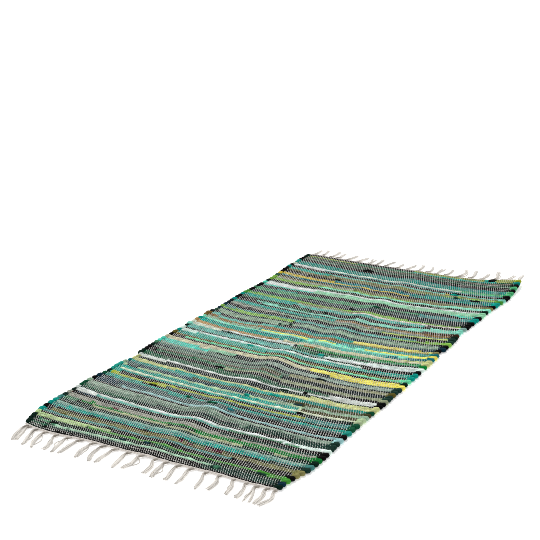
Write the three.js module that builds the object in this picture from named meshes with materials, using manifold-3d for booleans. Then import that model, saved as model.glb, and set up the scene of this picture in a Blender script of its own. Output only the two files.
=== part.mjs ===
// Flat-woven rag rug with knotted warp tassels at both ends, lying on a floor.
// Millimetres. +X runs across the rug, +Y along it and +Z up. The floor is z = 0.

import * as THREE from 'three';
import { mergeVertices } from 'three/addons/utils/BufferGeometryUtils.js';
import Module from 'manifold-3d';

const wasm = await Module();
wasm.setup();

// Cloth: rag weft on a cotton warp. Two weft rows share a rib and one selvedge loop.
const clothThickness = 6;
const ribCount = 86;
const ribRelief = 2;
const ribUnevenness = 0.7;
const rowsPerBottomStrip = 4;
const sideBow = 8;
const halfWidth = 350;

// Selvedge: each rib ends in a thick loop that stands out past its neighbours' grooves.
const loopDepth = 4;
const loopUnevenness = 1.2;
const selvedge = [
  { inward: 0, crest: 4, groove: 4 },
  { inward: 5, crest: 10.6, groove: 8.2 },
  { inward: 17, crest: 9.6, groove: 7.8 },
];
const selvedgeUnderside = [
  { inward: 4, lift: 0 },
  { inward: 10, lift: 0 },
  { inward: 17, lift: 1.4 },
];

// Outer edges of the selvedges, by share of the length from the near end.
const sides = [
  { share: 0.0, left: -345, right: 358 },
  { share: 0.05, left: -368, right: 364 },
  { share: 0.11, left: -373, right: 373 },
  { share: 0.22, left: -369, right: 368 },
  { share: 0.37, left: -362, right: 370 },
  { share: 0.51, left: -360, right: 363 },
  { share: 0.66, left: -348, right: 358 },
  { share: 0.81, left: -340, right: 363 },
  { share: 0.92, left: -342, right: 372 },
  { share: 1.0, left: -335, right: 358 },
];

// The two woven ends, which are not quite straight. The far right corner runs on a little.
const nearEnd = [
  { x: -345, y: -691 },
  { x: -300, y: -701 },
  { x: -250, y: -704 },
  { x: -150, y: -698 },
  { x: 0, y: -704 },
  { x: 200, y: -705 },
  { x: 300, y: -710 },
  { x: 358, y: -708 },
];
const farEnd = [
  { x: -335, y: 680 },
  { x: -300, y: 684 },
  { x: -220, y: 679 },
  { x: -40, y: 672 },
  { x: 140, y: 674 },
  { x: 215, y: 678 },
  { x: 290, y: 688 },
  { x: 358, y: 704 },
];

// A lengthwise crease stands up as one ridge, then parts into two low humps beyond the middle.
const creaseHalfWidth = 64;
const humpOffset = 50;
const humpHalfWidth = 48;
const creaseRows = [
  { y: -704, x: 12, ridge: 2, leftHump: 0, rightHump: 0 },
  { y: -608, x: 12, ridge: 3.5, leftHump: 0, rightHump: 0 },
  { y: -528, x: 13, ridge: 6, leftHump: 0, rightHump: 0 },
  { y: -448, x: 15, ridge: 7.5, leftHump: 0, rightHump: 0 },
  { y: -368, x: 13, ridge: 3.5, leftHump: 0, rightHump: 0 },
  { y: -288, x: 10, ridge: 3.5, leftHump: 0, rightHump: 0 },
  { y: -208, x: 11, ridge: 5.5, leftHump: 0, rightHump: 0 },
  { y: -128, x: 10, ridge: 8, leftHump: 0, rightHump: 0 },
  { y: -48, x: 8, ridge: 5, leftHump: 0, rightHump: 0 },
  { y: 32, x: 12, ridge: 1.2, leftHump: 4, rightHump: 4 },
  { y: 112, x: 13, ridge: 0, leftHump: 4, rightHump: 5 },
  { y: 192, x: 13, ridge: 1, leftHump: 3, rightHump: 5 },
  { y: 272, x: 14, ridge: 1.5, leftHump: 3, rightHump: 5 },
  { y: 352, x: 13, ridge: 0, leftHump: 1.5, rightHump: 3.5 },
  { y: 432, x: 10, ridge: 0, leftHump: 3, rightHump: 3.5 },
  { y: 512, x: 8, ridge: 1.5, leftHump: 2, rightHump: 4 },
  { y: 616, x: 6, ridge: 0, leftHump: 2, rightHump: 3 },
  { y: 704, x: 4, ridge: 0, leftHump: 1, rightHump: 1 },
];

// The far right corner curls up off the floor.
const cornerLift = 9;
const cornerReach = 130;

// Columns of the cloth between the selvedges. Those near the crease follow it.
const outerColumn = 205;
const creaseColumns = [-98, -50, -24, 0, 24, 50, 98];

// Edge cord: the warp ends run sideways along each end before they leave as tassels.
const pieceGap = 0.3;
const cordEndInset = 3;
const cordSection = [
  { out: 0, up: 0 },
  { out: 5, up: 0 },
  { out: 6.2, up: 2.6 },
  { out: 4.2, up: 5.2 },
  { out: 0, up: 5.2 },
];

// Tassels: a knot, then strands that come down from it and rest on the floor.
const knotWidth = 13;
const knotLength = 11;
const knotHeight = 8;
const knotOut = 7.8; // from the cloth's end to the knot's middle
const strandCount = 3;
const strandWidth = 3.4;
const strandHeight = 2.8;
const strandSpacing = 3.6; // side by side at the root
const strandSpread = 2.1; // added to that by the tips
const strandShortening = 0.05;
const strandRootHeight = 2.5;
const strandStops = [0, 0.34, 0.68, 1];

// Where each tassel leaves its cord, how far it leans and bends sideways, and how far it reaches.
const nearTassels = [
  { x: -341, lean: 20, bend: -3, reach: 67 },
  { x: -309, lean: 26, bend: 0, reach: 72 },
  { x: -279, lean: 23, bend: -3, reach: 72 },
  { x: -247, lean: 26, bend: 2, reach: 64 },
  { x: -210, lean: 14, bend: -3, reach: 70 },
  { x: -177, lean: -2, bend: -2, reach: 72 },
  { x: -140, lean: 6, bend: -3, reach: 71 },
  { x: -111, lean: 16, bend: -5, reach: 70 },
  { x: -76, lean: -3, bend: -2, reach: 70 },
  { x: -42, lean: 15, bend: 0, reach: 72 },
  { x: -4, lean: 1, bend: 2, reach: 63 },
  { x: 31, lean: 21, bend: 4, reach: 60 },
  { x: 62, lean: 15, bend: 0, reach: 67 },
  { x: 96, lean: 14, bend: 0, reach: 65 },
  { x: 129, lean: 13, bend: 1, reach: 69 },
  { x: 166, lean: 24, bend: 4, reach: 70 },
  { x: 199, lean: 20, bend: 6, reach: 60 },
  { x: 236, lean: 27, bend: 5, reach: 60 },
  { x: 270, lean: 18, bend: 6, reach: 61 },
  { x: 299, lean: 20, bend: -1, reach: 65 },
  { x: 332, lean: 13, bend: 7, reach: 66 },
];
const farTassels = [
  { x: -318, lean: -3, bend: 2, reach: 54 },
  { x: -292, lean: -10, bend: 5, reach: 61 },
  { x: -262, lean: 3, bend: 3, reach: 63 },
  { x: -238, lean: 2, bend: 3, reach: 54 },
  { x: -206, lean: 14, bend: 3, reach: 55 },
  { x: -168, lean: 14, bend: 4, reach: 55 },
  { x: -126, lean: -3, bend: 3, reach: 50 },
  { x: -100, lean: -5, bend: 3, reach: 63 },
  { x: -66, lean: 4, bend: -3, reach: 58 },
  { x: -31, lean: 2, bend: 3, reach: 50 },
  { x: 5, lean: 6, bend: -2, reach: 56 },
  { x: 40, lean: -9, bend: 4, reach: 64 },
  { x: 70, lean: -2, bend: 4, reach: 61 },
  { x: 97, lean: 4, bend: 2, reach: 58 },
  { x: 130, lean: 0, bend: 4, reach: 65 },
  { x: 168, lean: 0, bend: 7, reach: 79 },
  { x: 206, lean: -8, bend: 5, reach: 79 },
  { x: 240, lean: 0, bend: 4, reach: 66 },
  { x: 277, lean: -14, bend: 4, reach: 90 },
  { x: 306, lean: 9, bend: 3, reach: 69 },
  { x: 342, lean: -4, bend: 2, reach: 73 },
];

// Finishes.
const clothMaterial = new THREE.MeshStandardMaterial({ color: 0x4f7a6a, roughness: 0.95, metalness: 0 });
const warpMaterial = new THREE.MeshStandardMaterial({ color: 0xc8c0b6, roughness: 0.95, metalness: 0 });

// Reads one column of a table at a place between its rows.
function between(rows, key, place, column) {
  const last = rows.length - 1;
  const next = rows.findIndex((row) => row[key] > place);
  if (next === 0) return rows[0][column];
  if (next === -1) return rows[last][column];
  const from = rows[next - 1];
  const to = rows[next];
  return THREE.MathUtils.mapLinear(place, from[key], to[key], from[column], to[column]);
}

// A small repeatable wobble from -1 to 1, so that no two ribs are alike. Two waves that don't
// share a period stand for the unevenness of torn rags.
function wobble(step) {
  return 0.6 * Math.sin(2.3 * step) + 0.4 * Math.sin(5.1 * step + 1);
}

// A smooth bump, 1 at its middle and 0 from its half width on.
function bump(distance, half) {
  const share = Math.min(Math.abs(distance) / half, 1);
  return 0.5 * (1 + Math.cos(Math.PI * share));
}

// How far the cloth's underside stands off the floor.
function foldLift(x, y) {
  const fromCrease = x - between(creaseRows, 'y', y, 'x');
  const ridge = between(creaseRows, 'y', y, 'ridge') * bump(fromCrease, creaseHalfWidth);
  const left = between(creaseRows, 'y', y, 'leftHump') * bump(fromCrease + humpOffset, humpHalfWidth);
  const right = between(creaseRows, 'y', y, 'rightHump') * bump(fromCrease - humpOffset, humpHalfWidth);
  const fromCorner = Math.hypot(x - farEnd.at(-1).x, y - farEnd.at(-1).y);
  return ridge + left + right + cornerLift * bump(fromCorner, cornerReach);
}

// Where a row crosses x, from the two ends' lines. Rows bow towards the far end at the sides.
function rowPlace(x, share) {
  const near = between(nearEnd, 'x', x, 'y');
  const far = between(farEnd, 'x', x, 'y');
  const bow = sideBow * (x / halfWidth) ** 2 * Math.sin(Math.PI * share);
  return THREE.MathUtils.lerp(near, far, share) + bow;
}

// The columns' places across one row, from the left edge to the right, each with its distance
// from its side where it is in a selvedge. The loops' grooves lie further in than their crests.
function rowColumns(share, profile, groove) {
  const left = between(sides, 'share', share, 'left') + groove;
  const right = between(sides, 'share', share, 'right') - groove;
  const crease = between(creaseRows, 'y', rowPlace(0, share), 'x');
  const middle = [-outerColumn, ...creaseColumns.map((offset) => crease + offset), outerColumn];
  const innermost = profile.at(-1).inward;
  const columns = [
    ...profile.map((point) => ({ x: left + point.inward, rowX: left + innermost, point })),
    ...middle.map((x) => ({ x, rowX: x, point: null })),
    ...profile.map((point) => ({ x: right - point.inward, rowX: right - innermost, point })).reverse(),
  ];
  return columns.map((column) => ({ ...column, y: rowPlace(column.rowX, share) }));
}

function isEndStep(step) {
  return step === 0 || step === 2 * ribCount;
}

// One row of points of the upper face: even steps are grooves between ribs, odd ones are crests.
function upperRow(step) {
  const share = step / (2 * ribCount);
  const isCrest = step % 2 === 1;
  const groove = isCrest ? loopUnevenness * (1 + wobble(step)) * 0.5 : loopDepth;
  const relief = (isCrest ? 0.5 : -0.5) * ribRelief + (isCrest ? ribUnevenness * wobble(step + 7) : 0);
  const level = isCrest ? 'crest' : 'groove';
  return rowColumns(share, selvedge, isEndStep(step) ? 0 : groove).map(({ x, y, point }) => {
    const height = point ? point[level] : clothThickness + relief;
    return new THREE.Vector3(x, y, height + foldLift(x, y));
  });
}

// One row of points of the underside, which is flat on the floor but for the folds.
function lowerRow(step) {
  const share = step / (2 * ribCount);
  const groove = isEndStep(step) ? 0 : loopDepth / 2;
  return rowColumns(share, selvedgeUnderside, groove).map(({ x, y, point }) => {
    const lift = point ? point.lift : 0;
    return new THREE.Vector3(x, y, lift + foldLift(x, y));
  });
}

// Two triangles for every cell of a grid of points, seen from the side that faces out.
function addGrid(triangles, rows, faceUp) {
  for (let row = 0; row + 1 < rows.length; row += 1) {
    for (let column = 0; column + 1 < rows[row].length; column += 1) {
      const a = rows[row][column];
      const b = rows[row][column + 1];
      const c = rows[row + 1][column + 1];
      const d = rows[row + 1][column];
      if (faceUp) triangles.push([a, b, c], [a, c, d]);
      else triangles.push([a, c, b], [a, d, c]);
    }
  }
}

// The wall along one side, between the fine upper rim and the coarser lower one.
function addSideWall(triangles, upperRim, lowerRim, faceRight) {
  const half = rowsPerBottomStrip / 2;
  const wall = [];
  for (let strip = 0; strip + 1 < lowerRim.length; strip += 1) {
    const first = strip * rowsPerBottomStrip;
    for (let step = 0; step < rowsPerBottomStrip; step += 1) {
      const foot = step < half ? lowerRim[strip] : lowerRim[strip + 1];
      wall.push([upperRim[first + step], foot, upperRim[first + step + 1]]);
    }
    wall.push([lowerRim[strip], lowerRim[strip + 1], upperRim[first + half]]);
  }
  for (const [a, b, c] of wall) triangles.push(faceRight ? [a, b, c] : [a, c, b]);
}

function geometryFromTriangles(triangles) {
  const positions = triangles.flat().flatMap((point) => point.toArray());
  const geometry = new THREE.BufferGeometry();
  geometry.setAttribute('position', new THREE.Float32BufferAttribute(positions, 3));
  return mergeVertices(geometry);
}

function wovenClothGeometry() {
  const upper = [];
  const lower = [];
  for (let step = 0; step <= 2 * ribCount; step += 1) {
    upper.push(upperRow(step));
    if (step % rowsPerBottomStrip === 0) lower.push(lowerRow(step));
  }
  const triangles = [];
  addGrid(triangles, upper, true);
  addGrid(triangles, lower, false);
  addSideWall(triangles, upper.map((row) => row.at(-1)), lower.map((row) => row.at(-1)), true);
  addSideWall(triangles, upper.map((row) => row[0]), lower.map((row) => row[0]), false);
  addGrid(triangles, [lower[0], upper[0]], true);
  addGrid(triangles, [lower.at(-1), upper.at(-1)], false);
  return geometryFromTriangles(triangles);
}

// A closed bar: one section of points (side, up), set at each stop of a route in plan.
function barGeometry(section, stops) {
  const rings = stops.map((stop) => section.map((point) => new THREE.Vector3(
    stop.x + point.side * stop.sideX,
    stop.y + point.side * stop.sideY,
    stop.z + point.up,
  )));
  const triangles = [];
  addGrid(triangles, rings.map((ring) => [...ring, ring[0]]), false);
  for (let corner = 1; corner + 1 < section.length; corner += 1) {
    const first = rings[0];
    const last = rings.at(-1);
    triangles.push([first[0], first[corner], first[corner + 1]]);
    triangles.push([last[0], last[corner + 1], last[corner]]);
  }
  return geometryFromTriangles(triangles);
}

// Each end's line, as the cloth's end wall runs, with its height off the floor.
function endLine(isNear) {
  return rowColumns(isNear ? 0 : 1, selvedge, 0).map(({ x, y }) => new THREE.Vector3(x, y, foldLift(x, y)));
}

// Stops for the cord along the end's line, just off the cloth and a little short at both ends.
function edgeCordStops(line, outward) {
  const stops = line.map((point) => point.clone());
  stops[0].x += cordEndInset;
  stops.at(-1).x -= cordEndInset;
  return stops.map((point) => ({
    x: point.x,
    y: point.y + outward * pieceGap,
    z: point.z,
    sideX: 0,
    sideY: outward,
  }));
}

function edgeCordGeometry(line, outward) {
  const section = cordSection.map((point) => ({ side: point.out, up: point.up }));
  return barGeometry(outward < 0 ? section : section.reverse(), edgeCordStops(line, outward));
}

function knotGeometry(root) {
  const geometry = new THREE.SphereGeometry(0.5, 6, 3);
  geometry.rotateX(Math.PI / 2);
  geometry.scale(knotWidth, knotLength, knotHeight);
  geometry.translate(root.x, root.y, root.z + knotHeight / 2);
  return geometry;
}

// A place on one strand: the tassel's middle line, and the strand's own distance beside it.
function strandStop(root, tassel, outward, offset, share) {
  const across = tassel.lean + Math.PI * tassel.bend * Math.cos(Math.PI * share);
  const length = Math.hypot(across, tassel.reach);
  const sideX = tassel.reach / length;
  const sideY = -outward * across / length;
  const beside = offset * (strandSpacing + strandSpread * share);
  const drop = Math.min(share / strandStops[1], 1);
  return {
    x: root.x + tassel.lean * share + tassel.bend * Math.sin(Math.PI * share) + beside * sideX,
    y: root.y + outward * tassel.reach * share + beside * sideY,
    z: (root.z + strandRootHeight) * (1 - drop),
    sideX,
    sideY,
  };
}

// One three-sided strand, from inside the knot down to the floor and along it. The strands of a
// tassel are cut unevenly: the first is the longest and the middle one the shortest.
function strandGeometry(root, tassel, outward, strand) {
  const offset = strand - (strandCount - 1) / 2;
  const shortening = strandShortening * ((strand * 2) % strandCount);
  const section = [
    { side: strandWidth / 2, up: 0 },
    { side: -strandWidth / 2, up: 0 },
    { side: 0, up: strandHeight },
  ];
  const stops = strandStops.map((share) => (
    strandStop(root, tassel, outward, offset, share * (1 - shortening))
  ));
  return barGeometry(outward < 0 ? section : section.reverse(), stops);
}

function solidFromGeometry(geometry) {
  const bare = geometry.clone();
  bare.deleteAttribute('normal');
  bare.deleteAttribute('uv');
  const merged = mergeVertices(bare, 1e-4);
  return new wasm.Manifold(new wasm.Mesh({
    numProp: 3,
    vertProperties: Float32Array.from(merged.attributes.position.array),
    triVerts: Uint32Array.from(merged.index.array),
  }));
}

function geometryFromSolid(solid) {
  const mesh = solid.getMesh();
  const geometry = new THREE.BufferGeometry();
  geometry.setAttribute('position', new THREE.BufferAttribute(mesh.vertProperties, 3));
  geometry.setIndex(new THREE.BufferAttribute(mesh.triVerts, 1));
  return geometry;
}

// The cord, its knots and their strands, joined into one body.
function fringeGeometry(tassels, isNear) {
  const outward = isNear ? -1 : 1;
  const line = endLine(isNear);
  let fringe = solidFromGeometry(edgeCordGeometry(line, outward));
  for (const tassel of tassels) {
    const root = new THREE.Vector3(
      tassel.x,
      between(line, 'x', tassel.x, 'y') + outward * knotOut,
      between(line, 'x', tassel.x, 'z'),
    );
    fringe = fringe.add(solidFromGeometry(knotGeometry(root)));
    for (let strand = 0; strand < strandCount; strand += 1) {
      fringe = fringe.add(solidFromGeometry(strandGeometry(root, tassel, outward, strand)));
    }
  }
  return geometryFromSolid(fringe);
}

function namedMesh(name, geometry, material) {
  const mesh = new THREE.Mesh(geometry, material);
  mesh.name = name;
  return mesh;
}

const rug = new THREE.Group();
rug.add(namedMesh('woven_cloth', wovenClothGeometry(), clothMaterial));
rug.add(namedMesh('fringe_near', fringeGeometry(nearTassels, true), warpMaterial));
rug.add(namedMesh('fringe_far', fringeGeometry(farTassels, false), warpMaterial));

export default rug;
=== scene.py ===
# A flat-woven rag rug with knotted warp tassels, lying on a pale floor.
# Tables are in millimetres, and everything made from them is in metres. +Y runs along the rug.
import math

import bpy
import numpy as np
from mathutils import Matrix, Vector


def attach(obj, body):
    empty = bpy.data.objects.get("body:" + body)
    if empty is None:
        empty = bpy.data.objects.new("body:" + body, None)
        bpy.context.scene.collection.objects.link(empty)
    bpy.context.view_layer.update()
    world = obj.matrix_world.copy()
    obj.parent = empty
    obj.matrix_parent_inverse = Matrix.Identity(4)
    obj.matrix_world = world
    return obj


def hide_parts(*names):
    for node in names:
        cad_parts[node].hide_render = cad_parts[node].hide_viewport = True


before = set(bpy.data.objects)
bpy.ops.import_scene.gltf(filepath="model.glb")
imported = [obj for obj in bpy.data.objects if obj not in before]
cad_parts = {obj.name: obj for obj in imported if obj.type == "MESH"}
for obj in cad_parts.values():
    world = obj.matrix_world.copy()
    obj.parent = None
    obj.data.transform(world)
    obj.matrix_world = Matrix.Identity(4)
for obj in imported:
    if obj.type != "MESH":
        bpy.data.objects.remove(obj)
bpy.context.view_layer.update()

mm = 0.001
screenGamma = 2.2
up = np.array([0.0, 0.0, 1.0])
dice = np.random.default_rng(20)

# The rug's outline and folds. The ends and the folds are its solid's, and the sides follow the loops.
rugForm = {
    "rows": 172,
    "warps": 232,
    "middleHeight": 3.8,  # from the floor to the middle of the cloth
    "sideBow": 8,
    "bowHalfWidth": 350,
    "edgeInset": 12,  # from the loops' outer edge to the outermost warp
    # row, and the loops' outer edges on the left and on the right
    "sides": [
        (0, -348, 356),
        (5, -361, 358),
        (12, -370, 370),
        (20, -368, 373),
        (31, -369, 371),
        (38, -361, 369),
        (46, -359, 369),
        (53, -351, 369),
        (60, -357, 370),
        (66, -359, 370),
        (76, -356, 370),
        (86, -353, 368),
        (98, -348, 363),
        (110, -344, 361),
        (120, -343, 358),
        (130, -338, 361),
        (138, -333, 363),
        (146, -334, 366),
        (153, -340, 372),
        (160, -339, 372),
        (167, -338, 367),
        (172, -336, 359),
    ],
    # row, how far the loops there reach past that on the left and on the right
    "loopReach": [
        (0, 1, 0), (7, 0, 0), (11, 1, 2), (20, 0, 2), (24, -2, 0), (34, 0, 0), (37, -2, 0), (48, 0, 0),
        (51, -5, 0), (56, -5, 0), (58, 3, 0), (62, 0, 0), (80, 0, 0), (83, -3, 0), (86, 2, 2), (92, 0, -1),
        (94, -3, 3), (97, 4, 0), (99, 4, -3), (101, 0, -6), (103, -5, 2), (106, -1, 3), (112, 0, 1),
        (117, 1, -3), (119, 1, -4), (122, 0, 0), (150, 1, 0), (154, 0, 1), (158, 0, 0), (172, 0, 0),
    ],
    # x, y of the two woven ends
    "nearEnd": [
        (-345, -691), (-300, -701), (-250, -704), (-150, -698),
        (0, -704), (200, -705), (300, -710), (358, -708),
    ],
    "farEnd": [
        (-335, 680), (-300, 684), (-220, 679), (-40, 672),
        (140, 674), (215, 678), (290, 688), (358, 704),
    ],
    # y, the crease's x, its ridge, and the low humps on its left and right
    "crease": [
        (-704, 12, 2.0, 0.0, 0.0),
        (-608, 12, 3.5, 0.0, 0.0),
        (-528, 13, 6.0, 0.0, 0.0),
        (-448, 15, 7.5, 0.0, 0.0),
        (-368, 13, 3.5, 0.0, 0.0),
        (-288, 10, 3.5, 0.0, 0.0),
        (-208, 11, 5.5, 0.0, 0.0),
        (-128, 10, 8.0, 0.0, 0.0),
        (-48, 8, 5.0, 0.0, 0.0),
        (32, 12, 1.2, 4.0, 4.0),
        (112, 13, 0.0, 4.0, 5.0),
        (192, 13, 1.0, 3.0, 5.0),
        (272, 14, 1.5, 3.0, 5.0),
        (352, 13, 0.0, 1.5, 3.5),
        (432, 10, 0.0, 3.0, 3.5),
        (512, 8, 1.5, 2.0, 4.0),
        (616, 6, 0.0, 2.0, 3.0),
        (704, 4, 0.0, 1.0, 1.0),
    ],
    "ridgeHalfWidth": 64,
    "humpOffset": 50,
    "humpHalfWidth": 48,
    "cornerLift": 9,
    "cornerReach": 130,
}

# How far the weft rows stray along the rug, because they weren't beaten up straight.
# Row, then how far at each of the places across it.
rowDrift = {
    "across": [-360, -325, -240, -155, -75, 5, 80, 165, 250, 350],
    "rows": [
        (0, [0, 0, 0, 0, 0, 1, 0, 0, 0, 0]),
        (5, [-6, 0, 3, -1, 1, 5, 0, -4, -3, -5]),
        (12, [2, 5, 6, 2, 1, 1, -2, -5, -6, -10]),
        (22, [10, 12, 8, -1, -2, 0, -4, -6, -6, -10]),
        (32, [11, 12, 10, 3, -4, 0, -3, -11, -16, -20]),
        (42, [17, 19, 17, 9, 6, 0, 1, -2, -1, 0]),
        (52, [15, 16, 15, 6, 2, 0, -2, -3, -8, -9]),
        (62, [4, 6, 7, 0, -6, 1, -6, -11, -17, -20]),
        (72, [3, 3, 2, -2, -3, 0, -8, -16, -24, -24]),
        (82, [13, 13, 12, 7, 4, 0, -3, -6, -9, -9]),
        (92, [20, 16, 6, 3, 4, 0, -3, -3, -3, 2]),
        (102, [20, 10, -4, 2, 6, 2, 2, -3, -2, -3]),
        (112, [16, 14, 8, 4, 2, 2, 0, 0, 2, 2]),
        (122, [11, 11, 8, 6, 2, 0, 8, 4, 4, 3]),
        (132, [-3, -4, -3, -2, 1, 0, 3, 0, 0, -1]),
        (142, [12, 8, -2, 2, 3, 0, -5, 0, 2, -1]),
        (152, [20, 16, 6, 4, 4, 0, 0, -2, -5, -10]),
        (162, [12, 11, 5, 2, 0, -2, 6, 1, -3, -10]),
        (172, [0, 0, 0, 0, 0, 0, 0, 0, 0, 0]),
    ],
}

# Rag colours as the eye sees them, 0 to 255
ragColours = {
    "black": (7, 9, 10), "ink": (18, 14, 15), "bottle": (9, 40, 31), "spruce": (32, 60, 52),
    "forest": (22, 84, 58), "fern": (64, 102, 82), "moss": (68, 122, 92), "seaGreen": (78, 150, 108),
    "emerald": (16, 124, 52), "grass": (72, 146, 56), "lime": (128, 180, 76), "paleLime": (180, 210, 146),
    "lemonLime": (184, 204, 104), "straw": (204, 210, 142), "sand": (172, 182, 138),
    "butter": (230, 222, 118), "chartreuse": (168, 182, 60), "yellow": (250, 238, 108),
    "gold": (204, 182, 62), "brightMint": (140, 240, 204), "mint": (84, 212, 180),
    "seaMint": (84, 208, 184), "paleMint": (146, 212, 170), "jade": (114, 230, 174),
    "whiteMint": (222, 242, 232), "pearl": (220, 229, 223), "cream": (222, 236, 204),
    "shell": (220, 214, 206), "turquoise": (8, 152, 138), "deepTeal": (10, 132, 120),
    "teal": (42, 158, 142), "seaTeal": (100, 184, 168), "steel": (74, 140, 134), "mist": (138, 178, 168),
    "aqua": (132, 214, 192), "paleAqua": (150, 198, 198), "petrol": (28, 116, 122), "slate": (72, 96, 94),
    "charcoal": (28, 38, 40), "greySage": (104, 130, 114), "sage": (142, 172, 146),
    "paleSage": (184, 206, 162), "khakiSage": (148, 158, 126), "navy": (16, 50, 64),
    "slateNavy": (34, 62, 72), "olive": (102, 94, 40), "umber": (74, 72, 46), "khaki": (116, 116, 76),
    "beige": (212, 208, 174), "taupe": (154, 157, 144), "rust": (138, 96, 46), "copper": (142, 110, 68),
    "tan": (176, 142, 92), "wine": (92, 32, 50), "crimson": (98, 40, 54), "brown": (98, 90, 80),
    "celadon": (162, 206, 172), "ash": (150, 172, 156), "maroon": (92, 24, 26), "reed": (142, 138, 86),
    "pool": (68, 156, 148), "lagoon": (80, 176, 160), "linen": (214, 222, 204), "lichen": (146, 148, 118),
    "bronze": (120, 94, 46), "walnut": (66, 44, 30), "leaf": (118, 132, 62), "pickle": (150, 164, 84),
    "clover": (80, 176, 118),
}

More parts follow.
